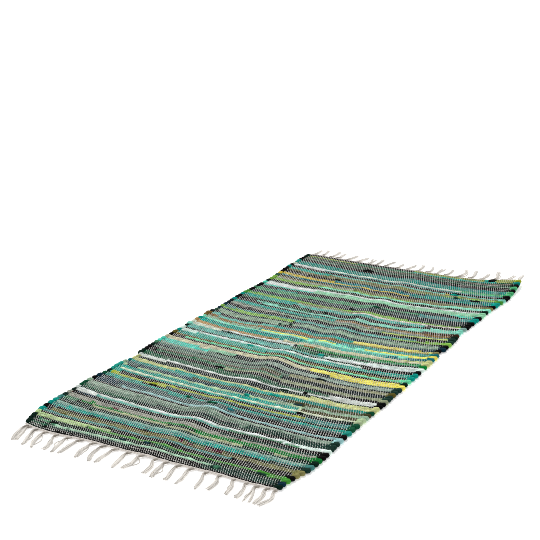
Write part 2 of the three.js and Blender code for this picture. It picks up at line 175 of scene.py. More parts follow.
# The stripes from the near end on. Each is a rag's colour, how many rows it covers, and the
# places (x, row) that it runs through. A later stripe lies over an earlier one.
stripes = [
    ("black", 3.0, [(-390, 1.2), (390, 1.2)]),
    ("bottle", 4.0, [(-390, 4.6), (390, 4.6)]),
    ("bottle", 6.0, [(-390, 3), (-290, 3)]),
    ("spruce", 3.2, [(150, 3), (250, 2.6), (390, 2.8)]),
    ("spruce", 1.0, [(-300, 2.5), (-50, 2.4)]),
    ("moss", 1.0, [(-285, 3.6), (-240, 3.4)]),
    ("celadon", 1.0, [(-272, 3.5), (-100, 3.5), (60, 3.4), (150, 3.2), (176, 3.3)]),
    ("moss", 1.6, [(170, 3.6), (192, 2.9)]),
    ("seaGreen", 0.8, [(-330, 4.5), (-294, 4.5)]),
    ("black", 1.1, [(-288, 4.3), (-272, 4.2)]),
    ("black", 1.2, [(-250, 0.8), (-226, 0.7)]),
    ("forest", 0.9, [(-345, 2.4), (-290, 2.5)]),
    ("slateNavy", 1.0, [(-89, 4.7), (-77, 4.6)]),
    ("slateNavy", 1.0, [(-28, 5.4), (-15, 5.3)]),
    ("spruce", 2.0, [(275, 5.7), (302, 5.7)]),
    ("grass", 0.9, [(302, 5.3), (350, 5)]),
    ("ink", 3.0, [(-390, 8.2), (390, 8.2)]),
    ("grass", 1.0, [(-195, 6.4), (390, 6.5)]),
    ("forest", 0.8, [(0, 5.8), (60, 5.7)]),
    ("paleLime", 2.2, [(-390, 6.9), (-330, 7.1), (-250, 7.3), (-200, 7.2)]),
    ("paleLime", 1.1, [(-200, 7.6), (-136, 7.8)]),
    ("steel", 1.2, [(-390, 10), (-340, 9.5), (-250, 9.2), (-100, 9.1), (0, 9.4), (100, 9.3), (192, 9.2)]),
    ("turquoise", 1.2, [(-390, 10), (-350, 9.8)]),
    ("khaki", 2.0, [(-340, 11), (390, 11)]),
    ("olive", 0.9, [(-330, 10.3), (-290, 10.4)]),
    ("umber", 1.0, [(-285, 11.2), (-150, 11.4)]),
    ("olive", 0.9, [(-240, 11.1), (-195, 11.2)]),
    ("olive", 0.9, [(-120, 11.5), (0, 11.6)]),
    ("umber", 0.9, [(60, 11), (130, 10.9), (230, 11.2)]),
    ("ink", 1.0, [(-330, 12.3), (390, 12.2)]),
    ("wine", 0.7, [(36, 11.5), (50, 11.5)]),
    ("wine", 0.7, [(62, 11.6), (76, 11.6)]),
    ("wine", 0.7, [(110, 11.5), (122, 11.6)]),
    ("wine", 0.7, [(130, 11.5), (156, 11.6)]),
    ("black", 2.4, [(-390, 11.8), (-340, 11.8)]),
    ("steel", 2.0, [(-390, 13.8), (390, 13.8)]),
    ("bottle", 1.4, [(240, 13), (390, 13)]),
    ("turquoise", 1.2, [
        (-390, 14.2), (-340, 13.4), (-300, 14), (-100, 13.8), (100, 13.9), (200, 13.9), (272, 13.6),
    ]),
    ("forest", 1.0, [(60, 12.8), (104, 12.9)]),
    ("mist", 1.3, [(-390, 15.6), (-300, 15.4), (0, 15.2), (390, 15.2)]),
    ("bottle", 3.2, [(-390, 17.4), (390, 17.3)]),
    ("spruce", 1.0, [(-390, 17), (-250, 17), (0, 16.6), (200, 16.6), (390, 16.6)]),
    ("moss", 3.0, [(-390, 19.4), (-310, 19.4)]),
    ("taupe", 1.6, [(-390, 21.2), (0, 21), (390, 20.8)]),
    ("spruce", 1.0, [(100, 21.8), (390, 21.6)]),
    ("emerald", 1.0, [(-302, 19.3), (-150, 19.3), (40, 19.1), (60, 18.8), (160, 18.7)]),
    ("emerald", 1.9, [(-276, 19.6), (-208, 19.4)]),
    ("emerald", 2.2, [(150, 19.2), (390, 19.1)]),
    ("sand", 0.8, [(-262, 19.1), (-240, 18.6), (-225, 18.2), (-40, 18.2), (-22, 17.7), (180, 17.8)]),
    ("sand", 0.8, [(266, 17.8), (300, 17.8)]),
    ("crimson", 0.7, [(-207, 20.7), (-190, 20.7)]),
    ("crimson", 0.6, [(150, 20.8), (162, 20.8)]),
    ("ink", 2.0, [(-390, 23), (390, 22.9)]),
    ("navy", 1.0, [(-345, 23.5), (-285, 23.5)]),
    ("maroon", 1.0, [(-390, 22.5), (-352, 22.4)]),
    ("seaTeal", 0.8, [(-285, 24.3), (-150, 24.2), (0, 24.4), (110, 24.4)]),
    ("moss", 0.8, [(110, 24.4), (255, 24.6)]),
    ("seaGreen", 0.8, [(262, 24.6), (300, 24.6)]),
    ("whiteMint", 1.0, [(-200, 25.3), (260, 25.6)]),
    ("whiteMint", 1.9, [(255, 25.9), (390, 25.7)]),
    ("pearl", 1.9, [(-390, 25.5), (-220, 25.6), (-180, 25.9)]),
    ("spruce", 2.4, [(-390, 27.6), (390, 27.4)]),
    ("ink", 1.0, [(-170, 26.5), (0, 26.6), (170, 26.6)]),
    ("black", 1.6, [(170, 27), (266, 26.9)]),
    ("forest", 1.2, [(-350, 27.3), (-200, 27.4)]),
    ("greySage", 4.6, [(-390, 30.8), (390, 30.6)]),
    ("spruce", 2.9, [(140, 29.2), (390, 28.9)]),
    ("charcoal", 0.9, [(-120, 28.4), (120, 28.5)]),
    ("ash", 1.9, [(-390, 30.6), (-250, 30.9), (-190, 31.5)]),
    ("ash", 0.9, [(-190, 31.6), (-40, 31.7)]),
    ("ash", 1.3, [(20, 31.8), (150, 31.6), (260, 31.2), (390, 31)]),
    ("forest", 1.2, [(-390, 28.6), (-345, 28.6)]),
    ("black", 2.6, [(-390, 32.9), (-305, 32.8)]),
    ("ink", 0.9, [(-305, 32.7), (-45, 32.6)]),
    ("ink", 0.9, [(40, 32.8), (390, 32.7)]),
    ("slate", 2.6, [(-390, 35), (390, 35)]),
    ("paleAqua", 1.0, [(-262, 33.6), (-180, 34), (-100, 33.7), (80, 33.9), (240, 33.6)]),
    ("paleAqua", 1.9, [(240, 33.6), (390, 33.4)]),
    ("navy", 2.6, [(-390, 34.8), (-280, 34.8)]),
    ("navy", 1.0, [(-280, 35.2), (-200, 35.1)]),
    ("ink", 2.0, [(80, 35.4), (390, 35.4)]),
    ("petrol", 1.1, [(50, 35.5), (68, 35.6)]),
    ("slate", 1.2, [(-390, 36.6), (390, 36.7)]),
    ("charcoal", 1.0, [(-390, 36.4), (-320, 36.4)]),
    ("teal", 1.1, [(-240, 37.3), (-100, 36.9), (60, 37.6), (200, 37.4), (390, 37.2)]),
    ("teal", 1.1, [(-390, 37.5), (-230, 37.4)]),
    ("forest", 1.2, [(-12, 36.9), (12, 36.9)]),
    ("forest", 1.2, [(-82, 37.3), (-68, 37.3)]),
    ("ink", 1.3, [(-230, 38.5), (0, 38.4), (200, 38.6)]),
    ("bottle", 1.4, [(200, 38.6), (390, 38.8)]),
    ("black", 1.6, [(-206, 38.8), (-190, 38.8)]),
    ("forest", 1.4, [(-390, 38.8), (-345, 38.8)]),
    ("slate", 1.2, [(-230, 39.4), (0, 39.6), (120, 39.8)]),
    ("steel", 1.2, [(120, 39.8), (390, 39.9)]),
    ("forest", 1.6, [(-390, 40.4), (-345, 40.4)]),
    ("chartreuse", 0.8, [(-342, 39.4), (-250, 39.7), (-100, 40.2), (50, 40.5), (140, 40.8), (286, 41.1)]),
    ("ink", 1.2, [(-320, 40.8), (-260, 41.3), (0, 41.4)]),
    ("charcoal", 1.2, [(0, 41.4), (200, 41.8), (390, 41.6)]),
    ("teal", 1.6, [(-390, 42.7), (-60, 42.7), (60, 42.3), (210, 42.4)]),
    ("black", 1.1, [(205, 42.3), (218, 42.5)]),
    ("bottle", 1.6, [(218, 42.4), (300, 42.6), (390, 42)]),
    ("teal", 0.9, [(300, 43), (340, 43.2)]),
    ("teal", 2.2, [(-390, 45), (0, 45), (200, 44.6)]),
    ("turquoise", 1.2, [(-390, 45.2), (-330, 45.3), (-240, 45.2)]),
    ("cream", 1.1, [
        (-335, 43.9), (-250, 44), (-60, 43.7), (50, 43.2), (200, 43.4), (340, 43.7), (390, 43.4),
    ]),
    ("turquoise", 2.4, [(28, 45.3), (56, 45.8), (80, 45.2)]),
    ("umber", 1.3, [(208, 44.8), (390, 45)]),
    ("ink", 0.9, [(-335, 46.2), (-150, 46.1)]),
    ("paleSage", 0.9, [(-390, 47.2), (-200, 46.8), (-100, 46.3), (0, 46.4), (60, 46.7), (208, 46.4)]),
    ("turquoise", 1.2, [(42, 46.3), (58, 46.4)]),
    ("paleSage", 1.2, [(-355, 47.3), (-260, 47.3)]),
    ("slate", 1.6, [(-390, 48.2), (200, 47.9)]),
    ("slateNavy", 1.4, [(-300, 48.1), (60, 47.8)]),
    ("slateNavy", 1.2, [(178, 48), (200, 48)]),
    ("sage", 1.9, [(206, 46.8), (390, 46.8)]),
    ("sage", 1.2, [(130, 47), (172, 47)]),
    ("steel", 1.6, [(-390, 49.6), (-130, 49.6)]),
    ("turquoise", 1.6, [(-390, 50.4), (-345, 50.4)]),
    ("umber", 1.3, [(-130, 49.3), (0, 49.3), (200, 49.1)]),
    ("umber", 2.0, [(200, 48.9), (390, 49)]),
    ("teal", 1.9, [(-345, 50.7), (130, 50.9)]),
    ("deepTeal", 1.9, [(130, 50.9), (390, 51.1)]),
    ("turquoise", 1.0, [(-195, 51.3), (-130, 51.2)]),
    ("turquoise", 1.2, [(95, 50.8), (118, 50.8)]),
    ("straw", 2.9, [(-350, 52.1), (-200, 52.3)]),
    ("straw", 1.4, [(-200, 52.8), (0, 52.8), (112, 52.6)]),
    ("straw", 3.0, [(110, 53.3), (200, 53.5), (390, 53.7)]),
    ("charcoal", 2.6, [(-390, 54.7), (112, 54.7)]),
    ("bottle", 1.2, [(-340, 54.6), (-220, 54.8)]),
    ("straw", 1.6, [(-390, 53), (-340, 52.8)]),
    ("bottle", 1.4, [(96, 55), (240, 55.3)]),
    ("bottle", 1.2, [(100, 55.3), (122, 55.3)]),
    ("bottle", 1.0, [(240, 55.4), (390, 55.8)]),
    ("pearl", 1.2, [(-390, 56.6), (-160, 56.8), (0, 56.9), (220, 56.8)]),
    ("pearl", 2.2, [(-350, 55.8), (-250, 56.4)]),
    ("pearl", 2.2, [(212, 57.7), (390, 57.8)]),
    ("black", 1.4, [(164, 56.2), (176, 56.6)]),
    ("fern", 2.4, [(-390, 58.8), (230, 58.5)]),
    ("forest", 2.2, [(-390, 59), (-280, 58.8)]),
    ("forest", 0.9, [(-100, 58.4), (200, 58.2)]),
    ("ink", 1.8, [(-320, 61.1), (0, 61), (80, 61.2)]),
    ("ink", 1.6, [(80, 60.3), (240, 59.8), (390, 59.4)]),
    ("charcoal", 1.0, [(80, 59.6), (200, 59.2)]),
    ("black", 1.6, [(-116, 61.4), (-100, 61.4)]),
    ("emerald", 0.9, [(-102, 60.2), (-88, 60.2)]),
    ("moss", 1.6, [(-390, 63), (390, 63)]),
    ("forest", 0.9, [(-300, 63.2), (-150, 62.9)]),
    ("ink", 3.6, [(-390, 63), (-320, 63)]),
    ("khakiSage", 1.3, [(-90, 61.9), (0, 62.8), (80, 62.6)]),
    ("khakiSage", 2.0, [(80, 62.4), (260, 61.9), (390, 61.6)]),
    ("brown", 1.0, [(-310, 64), (60, 64.2)]),
    ("umber", 1.0, [(-2, 65), (60, 65)]),
    ("charcoal", 2.2, [(70, 64.2), (390, 64)]),
    ("greySage", 1.4, [(-390, 65.2), (0, 65.2)]),
    ("greySage", 1.1, [(-280, 66.2), (0, 66.4)]),
    ("greySage", 1.0, [(0, 66.3), (80, 66.2)]),
    ("lichen", 2.0, [(80, 66.8), (390, 66.9)]),
    ("forest", 1.6, [(-390, 66.2), (-345, 66.2)]),
    ("charcoal", 1.6, [(-390, 67.6), (80, 67.6)]),
    ("slate", 0.9, [(-340, 67.5), (-200, 67.7)]),
    ("black", 1.1, [(150, 68.6), (182, 68.8)]),
    ("greySage", 1.5, [(-390, 69.1), (0, 69), (390, 69.6)]),
    ("charcoal", 1.0, [(0, 68.7), (390, 68.6)]),
    ("khaki", 1.4, [(-390, 69), (-345, 69)]),
    ("ash", 1.9, [(0, 70.3), (390, 70.2)]),
    ("ash", 0.9, [(-345, 69.8), (-190, 69.8)]),
    ("seaMint", 2.3, [(-390, 71.3), (-230, 71.2)]),
    ("seaMint", 1.4, [(-232, 71), (-190, 71)]),
    ("bottle", 1.0, [(-165, 70.6), (-20, 70.8)]),
    ("paleMint", 1.1, [(-200, 72.2), (-108, 72.1)]),
    ("charcoal", 1.6, [(-112, 71.4), (-20, 71.5)]),
    ("beige", 2.0, [(-390, 74), (-20, 74)]),
    ("beige", 1.3, [(-20, 74), (118, 74.2)]),
    ("slate", 1.0, [(160, 71.6), (390, 71.6)]),
    ("charcoal", 1.7, [(-18, 72.6), (80, 72.3), (172, 71.9)]),
    ("ink", 1.2, [(-390, 75.3), (-30, 75.3)]),
    ("black", 1.6, [(-390, 75.8), (-345, 75.8)]),
    ("ink", 1.2, [(-35, 75.3), (390, 75.3)]),
    ("yellow", 1.4, [(114, 74.1), (180, 74)]),
    ("yellow", 2.0, [(176, 73.9), (390, 73.8)]),
    ("jade", 0.9, [(-300, 76.1), (-60, 76.1)]),
    ("jade", 0.9, [(-60, 76.2), (390, 76.5)]),
    ("olive", 1.3, [(-390, 77.8), (-300, 77.4), (-150, 77.2), (0, 77.6), (200, 77.7), (344, 77.9)]),
    ("turquoise", 2.6, [(-390, 79.4), (-300, 79.4)]),
    ("lagoon", 2.6, [(-300, 79.4), (0, 79.2), (390, 79.8)]),
    ("teal", 0.9, [(-280, 78.6), (0, 78.8)]),
    ("ink", 1.0, [(-345, 76.3), (-300, 76.3)]),
    ("ink", 1.0, [(-50, 78.5), (0, 78.8), (200, 78.7), (390, 78.6)]),
    ("teal", 0.9, [(0, 80.4), (355, 80.4)]),
    ("whiteMint", 1.2, [(-285, 81.3), (-120, 81.3), (222, 81.2)]),
    ("whiteMint", 1.9, [(-390, 80.8), (-288, 80.8)]),
    ("turquoise", 1.2, [(-120, 80.8), (-102, 80.6)]),
    ("bottle", 1.4, [(-390, 82.7), (220, 82.7)]),
    ("ink", 2.0, [(222, 81.9), (390, 81.8)]),
    ("seaTeal", 2.4, [(-390, 84.6), (0, 84.4), (100, 84)]),
    ("steel", 1.0, [(-250, 85.2), (-60, 85)]),
    ("moss", 1.6, [(0, 85.4), (230, 85.4)]),
    ("forest", 0.9, [(0, 84.8), (110, 84.9)]),
    ("turquoise", 1.1, [(84, 84.2), (100, 84)]),
    ("whiteMint", 1.3, [(105, 83.7), (150, 84), (232, 83.8)]),
    ("whiteMint", 3.0, [(228, 84.5), (390, 84.5)]),
    ("linen", 2.3, [(-350, 87.1), (-234, 87)]),
    ("teal", 1.0, [(-390, 86), (-345, 85.8)]),
    ("pearl", 1.1, [(-234, 87.4), (0, 87.5)]),
    ("bottle", 0.9, [(-236, 86.4), (-10, 86.3)]),
    ("charcoal", 1.2, [(0, 86.2), (390, 86.3)]),
    ("seaGreen", 2.0, [(8, 88), (390, 88)]),
    ("emerald", 0.9, [(40, 87.4), (170, 87.4)]),
    ("emerald", 0.9, [(210, 88.3), (340, 88.3)]),
    ("tan", 1.6, [(-390, 89.5), (-250, 88.9), (-60, 88.6)]),
    ("rust", 1.2, [(-92, 88.5), (-78, 88.5)]),
    ("beige", 2.0, [(-44, 89.8), (150, 90), (390, 90)]),
    ("straw", 0.9, [(300, 90.3), (390, 90.3)]),
    ("rust", 0.9, [(22, 88.8), (56, 88.6)]),
    ("turquoise", 2.2, [(-390, 91.6), (0, 91.6)]),
    ("lagoon", 2.0, [(0, 91.9), (270, 92)]),
    ("petrol", 0.9, [(-150, 92.1), (0, 92.2)]),
    ("petrol", 2.0, [(250, 91.9), (390, 92)]),
    ("brightMint", 1.2, [(-390, 93.6), (-330, 93.1), (-100, 93.4), (50, 93.6), (200, 93.4), (300, 93)]),
    ("sage", 1.5, [(-345, 94.6), (-150, 94.7)]),
    ("steel", 1.6, [(-150, 95.4), (60, 95.4)]),
    ("pool", 1.8, [(60, 95.7), (390, 96.3)]),
    ("yellow", 1.0, [(-140, 94.3), (10, 94.4)]),
    ("brightMint", 0.9, [(8, 94.4), (44, 94.4)]),
    ("seaTeal", 0.9, [(90, 94.5), (180, 94.5)]),
    ("yellow", 0.8, [(40, 94.4), (92, 94.5)]),
    ("brightMint", 0.9, [(100, 94.4), (122, 94.5)]),
    ("brightMint", 0.9, [(148, 94.4), (174, 94.4)]),
    ("yellow", 1.3, [(178, 94.4), (390, 94.6)]),
    ("copper", 1.6, [(-390, 97.8), (-330, 97), (-280, 96.3), (-200, 96.5), (0, 96.9), (100, 97)]),
    ("rust", 1.3, [(-390, 97.8), (-320, 97)]),
    ("rust", 0.8, [(-240, 96.8), (-180, 96.5), (-60, 96.9), (76, 97)]),
    ("khaki", 1.1, [(76, 97.4), (340, 97.4)]),
    ("seaTeal", 1.8, [(-390, 99.6), (-300, 98.4), (-100, 98.6), (0, 98.6)]),
    ("teal", 1.4, [(-120, 98.9), (130, 99)]),
    ("butter", 0.9, [(126, 99.2), (290, 99.1), (345, 98.4)]),
    ("butter", 0.9, [(126, 98.5), (200, 98.5)]),
    ("ink", 1.6, [(-390, 101.2), (-280, 100.2), (-60, 100.5)]),
    ("slateNavy", 2.2, [(-60, 100.8), (390, 100.9)]),
    ("slate", 1.0, [(60, 101.4), (390, 101.4)]),
    ("sage", 2.0, [(-390, 102.9), (-250, 102.4), (0, 103), (390, 102.8)]),
    ("spruce", 1.0, [(0, 101.4), (150, 101.3)]),
    ("spruce", 1.0, [(-120, 101.5), (-110, 101.5)]),
    ("spruce", 1.0, [(-90, 102.4), (-80, 102.4)]),
    ("charcoal", 1.3, [(-390, 104.2), (-100, 104.4), (390, 104.9)]),
    ("navy", 0.9, [(-340, 104.1), (-180, 104.3)]),
    ("greySage", 1.0, [(-60, 104), (340, 104)]),
    ("lime", 0.9, [(-390, 105.3), (-240, 105.9), (-90, 106.4)]),
    ("lime", 0.9, [(-290, 106.2), (-220, 106.3)]),
    ("charcoal", 1.1, [(-90, 105.6), (200, 105.6)]),
    ("steel", 1.0, [(-390, 107.2), (-90, 107.2)]),
    ("seaTeal", 0.9, [(-90, 106.8), (205, 106.8)]),
    ("steel", 0.9, [(-80, 107.4), (270, 107.4)]),
    ("lime", 0.9, [(205, 106.6), (345, 106.7)]),
    ("lime", 0.9, [(296, 107.3), (345, 107.3)]),
    ("ink", 1.9, [(-390, 108.9), (0, 108.7), (390, 108.6)]),
    ("taupe", 1.2, [(-390, 110.4), (0, 110.4)]),
    ("sage", 1.2, [(-150, 110.3), (165, 110.4)]),
    ("lemonLime", 0.9, [(163, 110.2), (345, 110.1)]),
    ("spruce", 2.0, [(-390, 112), (390, 112)]),
    ("greySage", 0.9, [(-60, 111.4), (340, 111.4)]),
    ("greySage", 1.0, [(-340, 111), (-170, 111)]),
    ("reed", 0.8, [(114, 111.2), (126, 111.2)]),
    ("teal", 1.9, [(-390, 113), (-90, 112.8), (12, 112.9)]),
    ("taupe", 1.0, [(12, 112.6), (300, 112.4)]),
    ("copper", 1.0, [(10, 113.5), (390, 113.6)]),
    ("bronze", 1.9, [(276, 113.4), (390, 113.3)]),
    ("ink", 3.0, [(-390, 115.6), (-300, 115.4), (-240, 115)]),
    ("bottle", 0.9, [(-240, 114.4), (262, 114.4)]),
    ("aqua", 1.1, [(-266, 116.6), (-236, 115.8), (60, 115.5)]),
    ("aqua", 2.0, [(60, 115.9), (200, 116), (245, 116.4)]),
    ("walnut", 1.6, [(262, 115), (390, 115.3)]),
    ("bottle", 2.8, [(-390, 118.2), (60, 118.2)]),
    ("fern", 1.2, [(-340, 118.4), (-200, 118.3)]),
    ("forest", 0.9, [(-230, 117.2), (-90, 117)]),
    ("black", 1.4, [(-40, 117.4), (40, 117.3)]),
    ("ink", 1.6, [(-240, 119.1), (0, 118.6), (60, 117.6)]),
    ("ink", 1.9, [(60, 117.8), (230, 118.2), (270, 119.6)]),
    ("teal", 2.2, [(-390, 120.7), (-160, 120.4)]),
    ("lagoon", 2.0, [(-160, 120.6), (60, 119.8), (250, 120)]),
    ("turquoise", 1.0, [(-390, 121), (-300, 120.9)]),
    ("aqua", 2.4, [(232, 116.4), (270, 117.2), (300, 117.9), (390, 117.9)]),
    ("ink", 1.5, [(262, 119.9), (390, 120.1)]),
    ("sage", 0.9, [(-150, 121.7), (30, 121.7)]),
    ("shell", 0.9, [(30, 121.5), (390, 121.4)]),
    ("lime", 1.9, [(-390, 122.9), (185, 122.9)]),
    ("lime", 0.9, [(185, 122.5), (390, 122.5)]),
    ("grass", 0.9, [(-390, 123.2), (-300, 123)]),
    ("khaki", 0.9, [(-150, 122.6), (60, 122.7)]),
    ("charcoal", 4.6, [(-390, 126), (390, 126)]),
    ("moss", 1.0, [(-340, 124.4), (-150, 124.4)]),
    ("slate", 1.2, [(-340, 126.9), (60, 126.6)]),
    ("slate", 1.0, [(60, 127.6), (200, 127.4)]),
    ("navy", 1.1, [(-340, 126.4), (-220, 126.6)]),
    ("ink", 1.6, [(8, 125.5), (24, 125.7)]),
    ("seaGreen", 2.4, [(-390, 129.4), (0, 129.2), (60, 129.6)]),
    ("seaGreen", 1.2, [(60, 130.2), (200, 130.2)]),
    ("spruce", 1.4, [(60, 129), (200, 129)]),
    ("forest", 1.0, [(60, 129.4), (80, 129.4)]),
    ("steel", 2.4, [(200, 129.8), (390, 129.2)]),
    ("charcoal", 2.8, [(-390, 132.2), (390, 132.2)]),
    ("teal", 1.2, [(-262, 131.5), (-190, 131.4)]),
    ("ink", 1.3, [(-140, 132.9), (390, 132.6)]),
    ("black", 1.0, [(20, 132.6), (120, 132.6)]),
    ("seaMint", 1.2, [(-390, 134.7), (-50, 134.5)]),
    ("turquoise", 1.0, [(-118, 134.4), (-56, 134.4)]),
    ("paleMint", 2.8, [(-152, 135.6), (0, 135.3), (390, 135.1)]),
    ("mint", 1.2, [(276, 133.2), (390, 132.8)]),
    ("pearl", 2.4, [(-345, 136.3), (-150, 136.5)]),
    ("pearl", 0.9, [(-150, 137.3), (390, 137.5)]),
    ("bottle", 1.5, [(-390, 138.7), (390, 138.8)]),
    ("forest", 1.0, [(-124, 139.4), (-60, 139.4)]),
    ("forest", 1.0, [(205, 139.6), (252, 139.6)]),
    ("lime", 2.1, [(-390, 140.7), (-165, 140.7)]),
    ("brightMint", 1.3, [(-165, 140.6), (0, 140.4), (100, 140.2), (280, 140.7)]),
    ("brightMint", 1.8, [(250, 140.9), (390, 140.8)]),
    ("khaki", 2.6, [(-390, 142.9), (390, 142.9)]),
    ("lime", 1.0, [(-160, 141.6), (-40, 141.5), (140, 141.5)]),
    ("taupe", 1.2, [(-340, 142.8), (-50, 142.8)]),
    ("ink", 1.3, [(-390, 144.6), (112, 144.7)]),
    ("ink", 1.9, [(112, 145), (390, 145)]),
    ("petrol", 1.1, [(-390, 145.3), (-40, 145.4)]),
    ("gold", 1.7, [(-390, 146.7), (-120, 146.9)]),
    ("gold", 0.9, [(-120, 146.6), (112, 146.6)]),
    ("deepTeal", 2.8, [(112, 147.3), (390, 147.3)]),
    ("petrol", 1.4, [(-140, 148.2), (120, 148.2)]),
    ("ink", 2.6, [(-390, 149.2), (-150, 149.2)]),
    ("charcoal", 1.2, [(-150, 149.4), (150, 149.4)]),
    ("petrol", 1.2, [(150, 149.4), (390, 149.4)]),
    ("black", 1.6, [(-145, 149.8), (-130, 149.8)]),
    ("black", 1.6, [(284, 149.4), (312, 149.4)]),
    ("khaki", 2.4, [(-390, 151.4), (390, 151.4)]),
    ("moss", 0.9, [(150, 150.6), (390, 150.6)]),
    ("umber", 1.0, [(-340, 150.9), (-180, 151)]),
    ("leaf", 1.2, [(0, 151.3), (200, 151.4)]),
    ("lime", 1.4, [(200, 151.6), (390, 151.6)]),
    ("spruce", 1.1, [(234, 150.3), (246, 150.3)]),
    ("lemonLime", 1.0, [(243, 151.9), (252, 151.9)]),
    ("teal", 2.0, [(-390, 153.2), (-180, 153.3)]),
    ("seaTeal", 1.0, [(-180, 153.4), (200, 153.4)]),
    ("seaTeal", 1.4, [(222, 153.7), (390, 153.6)]),
    ("gold", 0.8, [(198, 153.9), (210, 153.9)]),
    ("turquoise", 1.4, [(214, 154.2), (240, 154.2)]),
    ("ink", 1.7, [(-390, 155), (390, 155.2)]),
    ("black", 1.2, [(-150, 155), (20, 154.9)]),
    ("steel", 1.0, [(-390, 156.4), (390, 156.6)]),
    ("pearl", 1.5, [(-390, 157.1), (-40, 157.4), (232, 157.5)]),
    ("linen", 0.8, [(-180, 157.3), (232, 157.3)]),
    ("clover", 1.6, [(232, 157.9), (390, 157.9)]),
    ("deepTeal", 4.0, [(-390, 160.5), (390, 160.5)]),
    ("seaGreen", 1.1, [(200, 158.8), (390, 158.9)]),
    ("steel", 1.0, [(-120, 160.2), (160, 160.3)]),
    ("ink", 2.2, [(-390, 163.5), (390, 163.5)]),
    ("black", 1.8, [(-108, 164), (-78, 164)]),
    ("greySage", 1.4, [(-390, 165.6), (390, 165.6)]),
    ("fern", 0.8, [(-200, 165.2), (300, 165.2)]),
    ("brown", 1.6, [(-390, 167.1), (390, 167.1)]),
    ("spruce", 0.8, [(-300, 166.6), (390, 166.6)]),
    ("forest", 1.1, [(-390, 168.5), (390, 168.5)]),
    ("pickle", 1.4, [(-320, 169.6), (-150, 169.6)]),
    ("moss", 1.3, [(-150, 169.6), (40, 169.6)]),
    ("teal", 1.4, [(40, 169.6), (300, 169.4)]),
    ("ink", 1.6, [(-390, 171.4), (40, 171.4)]),
    ("pickle", 0.9, [(40, 170.6), (270, 170.6)]),
    ("pickle", 2.0, [(280, 170.6), (390, 170.4)]),
    ("leaf", 0.8, [(60, 171.4), (260, 171.2)]),
    ("teal", 1.4, [(260, 170.4), (276, 170.4)]),
    ("black", 1.6, [(270, 171.3), (292, 171)]),
]

# The loops on the right show more of some rags than the rows do: colour, and the last row it reaches
rightLoops = [
    ("bottle", 2.6), ("navy", 4.4), ("grass", 6.6), ("black", 8.8), ("reed", 12), ("spruce", 14.4),
    ("steel", 16), ("bottle", 17), ("emerald", 20.6), ("ink", 24), ("whiteMint", 26), ("spruce", 31),
    ("paleAqua", 33.6), ("ink", 36), ("teal", 38), ("forest", 42), ("paleSage", 45), ("sage", 48),
    ("umber", 50), ("forest", 52), ("straw", 55.4), ("black", 57), ("pearl", 58), ("black", 60),
    ("khakiSage", 62), ("spruce", 65), ("olive", 68), ("spruce", 72), ("yellow", 74.4), ("bottle", 75.4),
    ("jade", 78), ("turquoise", 81), ("black", 83), ("whiteMint", 86), ("emerald", 88.4), ("straw", 91),
    ("petrol", 94), ("yellow", 95.6), ("petrol", 98.4), ("reed", 100), ("black", 102), ("navy", 104),
    ("black", 106), ("lime", 108), ("spruce", 112), ("bottle", 114), ("walnut", 116), ("aqua", 120),
    ("mist", 121.6), ("black", 128), ("turquoise", 131.5), ("black", 133.5), ("mint", 134.6),
    ("paleMint", 138), ("bottle", 140), ("brightMint", 142), ("reed", 144), ("black", 146),
    ("turquoise", 149.6), ("grass", 152), ("aqua", 154), ("black", 158), ("clover", 162), ("black", 164),
    ("clover", 166), ("ink", 168), ("deepTeal", 170), ("chartreuse", 172),
]
# The same on the left
leftLoops = [
    ("bottle", 6), ("paleLime", 8.6), ("turquoise", 10), ("black", 13), ("turquoise", 16), ("steel", 18),
    ("spruce", 21), ("taupe", 22), ("maroon", 23), ("bottle", 25), ("pearl", 27), ("forest", 30),
    ("sage", 32), ("black", 34), ("navy", 36), ("forest", 38), ("teal", 39), ("bottle", 41), ("teal", 46),
    ("sage", 48), ("navy", 49), ("petrol", 51), ("straw", 54), ("black", 55), ("pearl", 57),
    ("bottle", 60), ("ink", 65), ("bottle", 67), ("moss", 69.6), ("seaMint", 73), ("beige", 74.6),
    ("black", 77), ("olive", 78.6), ("turquoise", 80), ("whiteMint", 82), ("bottle", 84), ("aqua", 86),
    ("linen", 88), ("tan", 90.6), ("turquoise", 93), ("brightMint", 95), ("bronze", 99.6),
    ("charcoal", 101), ("fern", 103), ("navy", 105), ("lime", 106), ("navy", 109), ("charcoal", 112),
    ("turquoise", 114.6), ("black", 119.4), ("turquoise", 121.6), ("grass", 125), ("ink", 128),
    ("moss", 131), ("black", 134.6), ("mint", 136), ("pearl", 137.4), ("bottle", 139.6), ("lime", 142),
    ("fern", 145), ("gold", 147.4), ("black", 152.6), ("turquoise", 155), ("ink", 156.4), ("linen", 158),
    ("teal", 162), ("black", 167), ("bottle", 172),
]
rightLoopDepth = 17
leftLoopDepth = 11


# Reads a smooth curve through a table's stops
def smoothRead(stops, values, places):
    stops = np.asarray(stops, float)
    values = np.asarray(values, float)
    slopes = np.gradient(values, stops, axis=0)
    places = np.clip(places, stops[0], stops[-1])
    cell = np.clip(np.searchsorted(stops, places, side="right") - 1, 0, len(stops) - 2)
    width = stops[cell + 1] - stops[cell]
    t = (places - stops[cell]) / width
    if values.ndim == 2:
        t, width = t[:, None], width[:, None]
    return (
        (2 * t**3 - 3 * t**2 + 1) * values[cell]
        + (t**3 - 2 * t**2 + t) * width * slopes[cell]
        + (3 * t**2 - 2 * t**3) * values[cell + 1]
        + (t**3 - t**2) * width * slopes[cell + 1]
    )


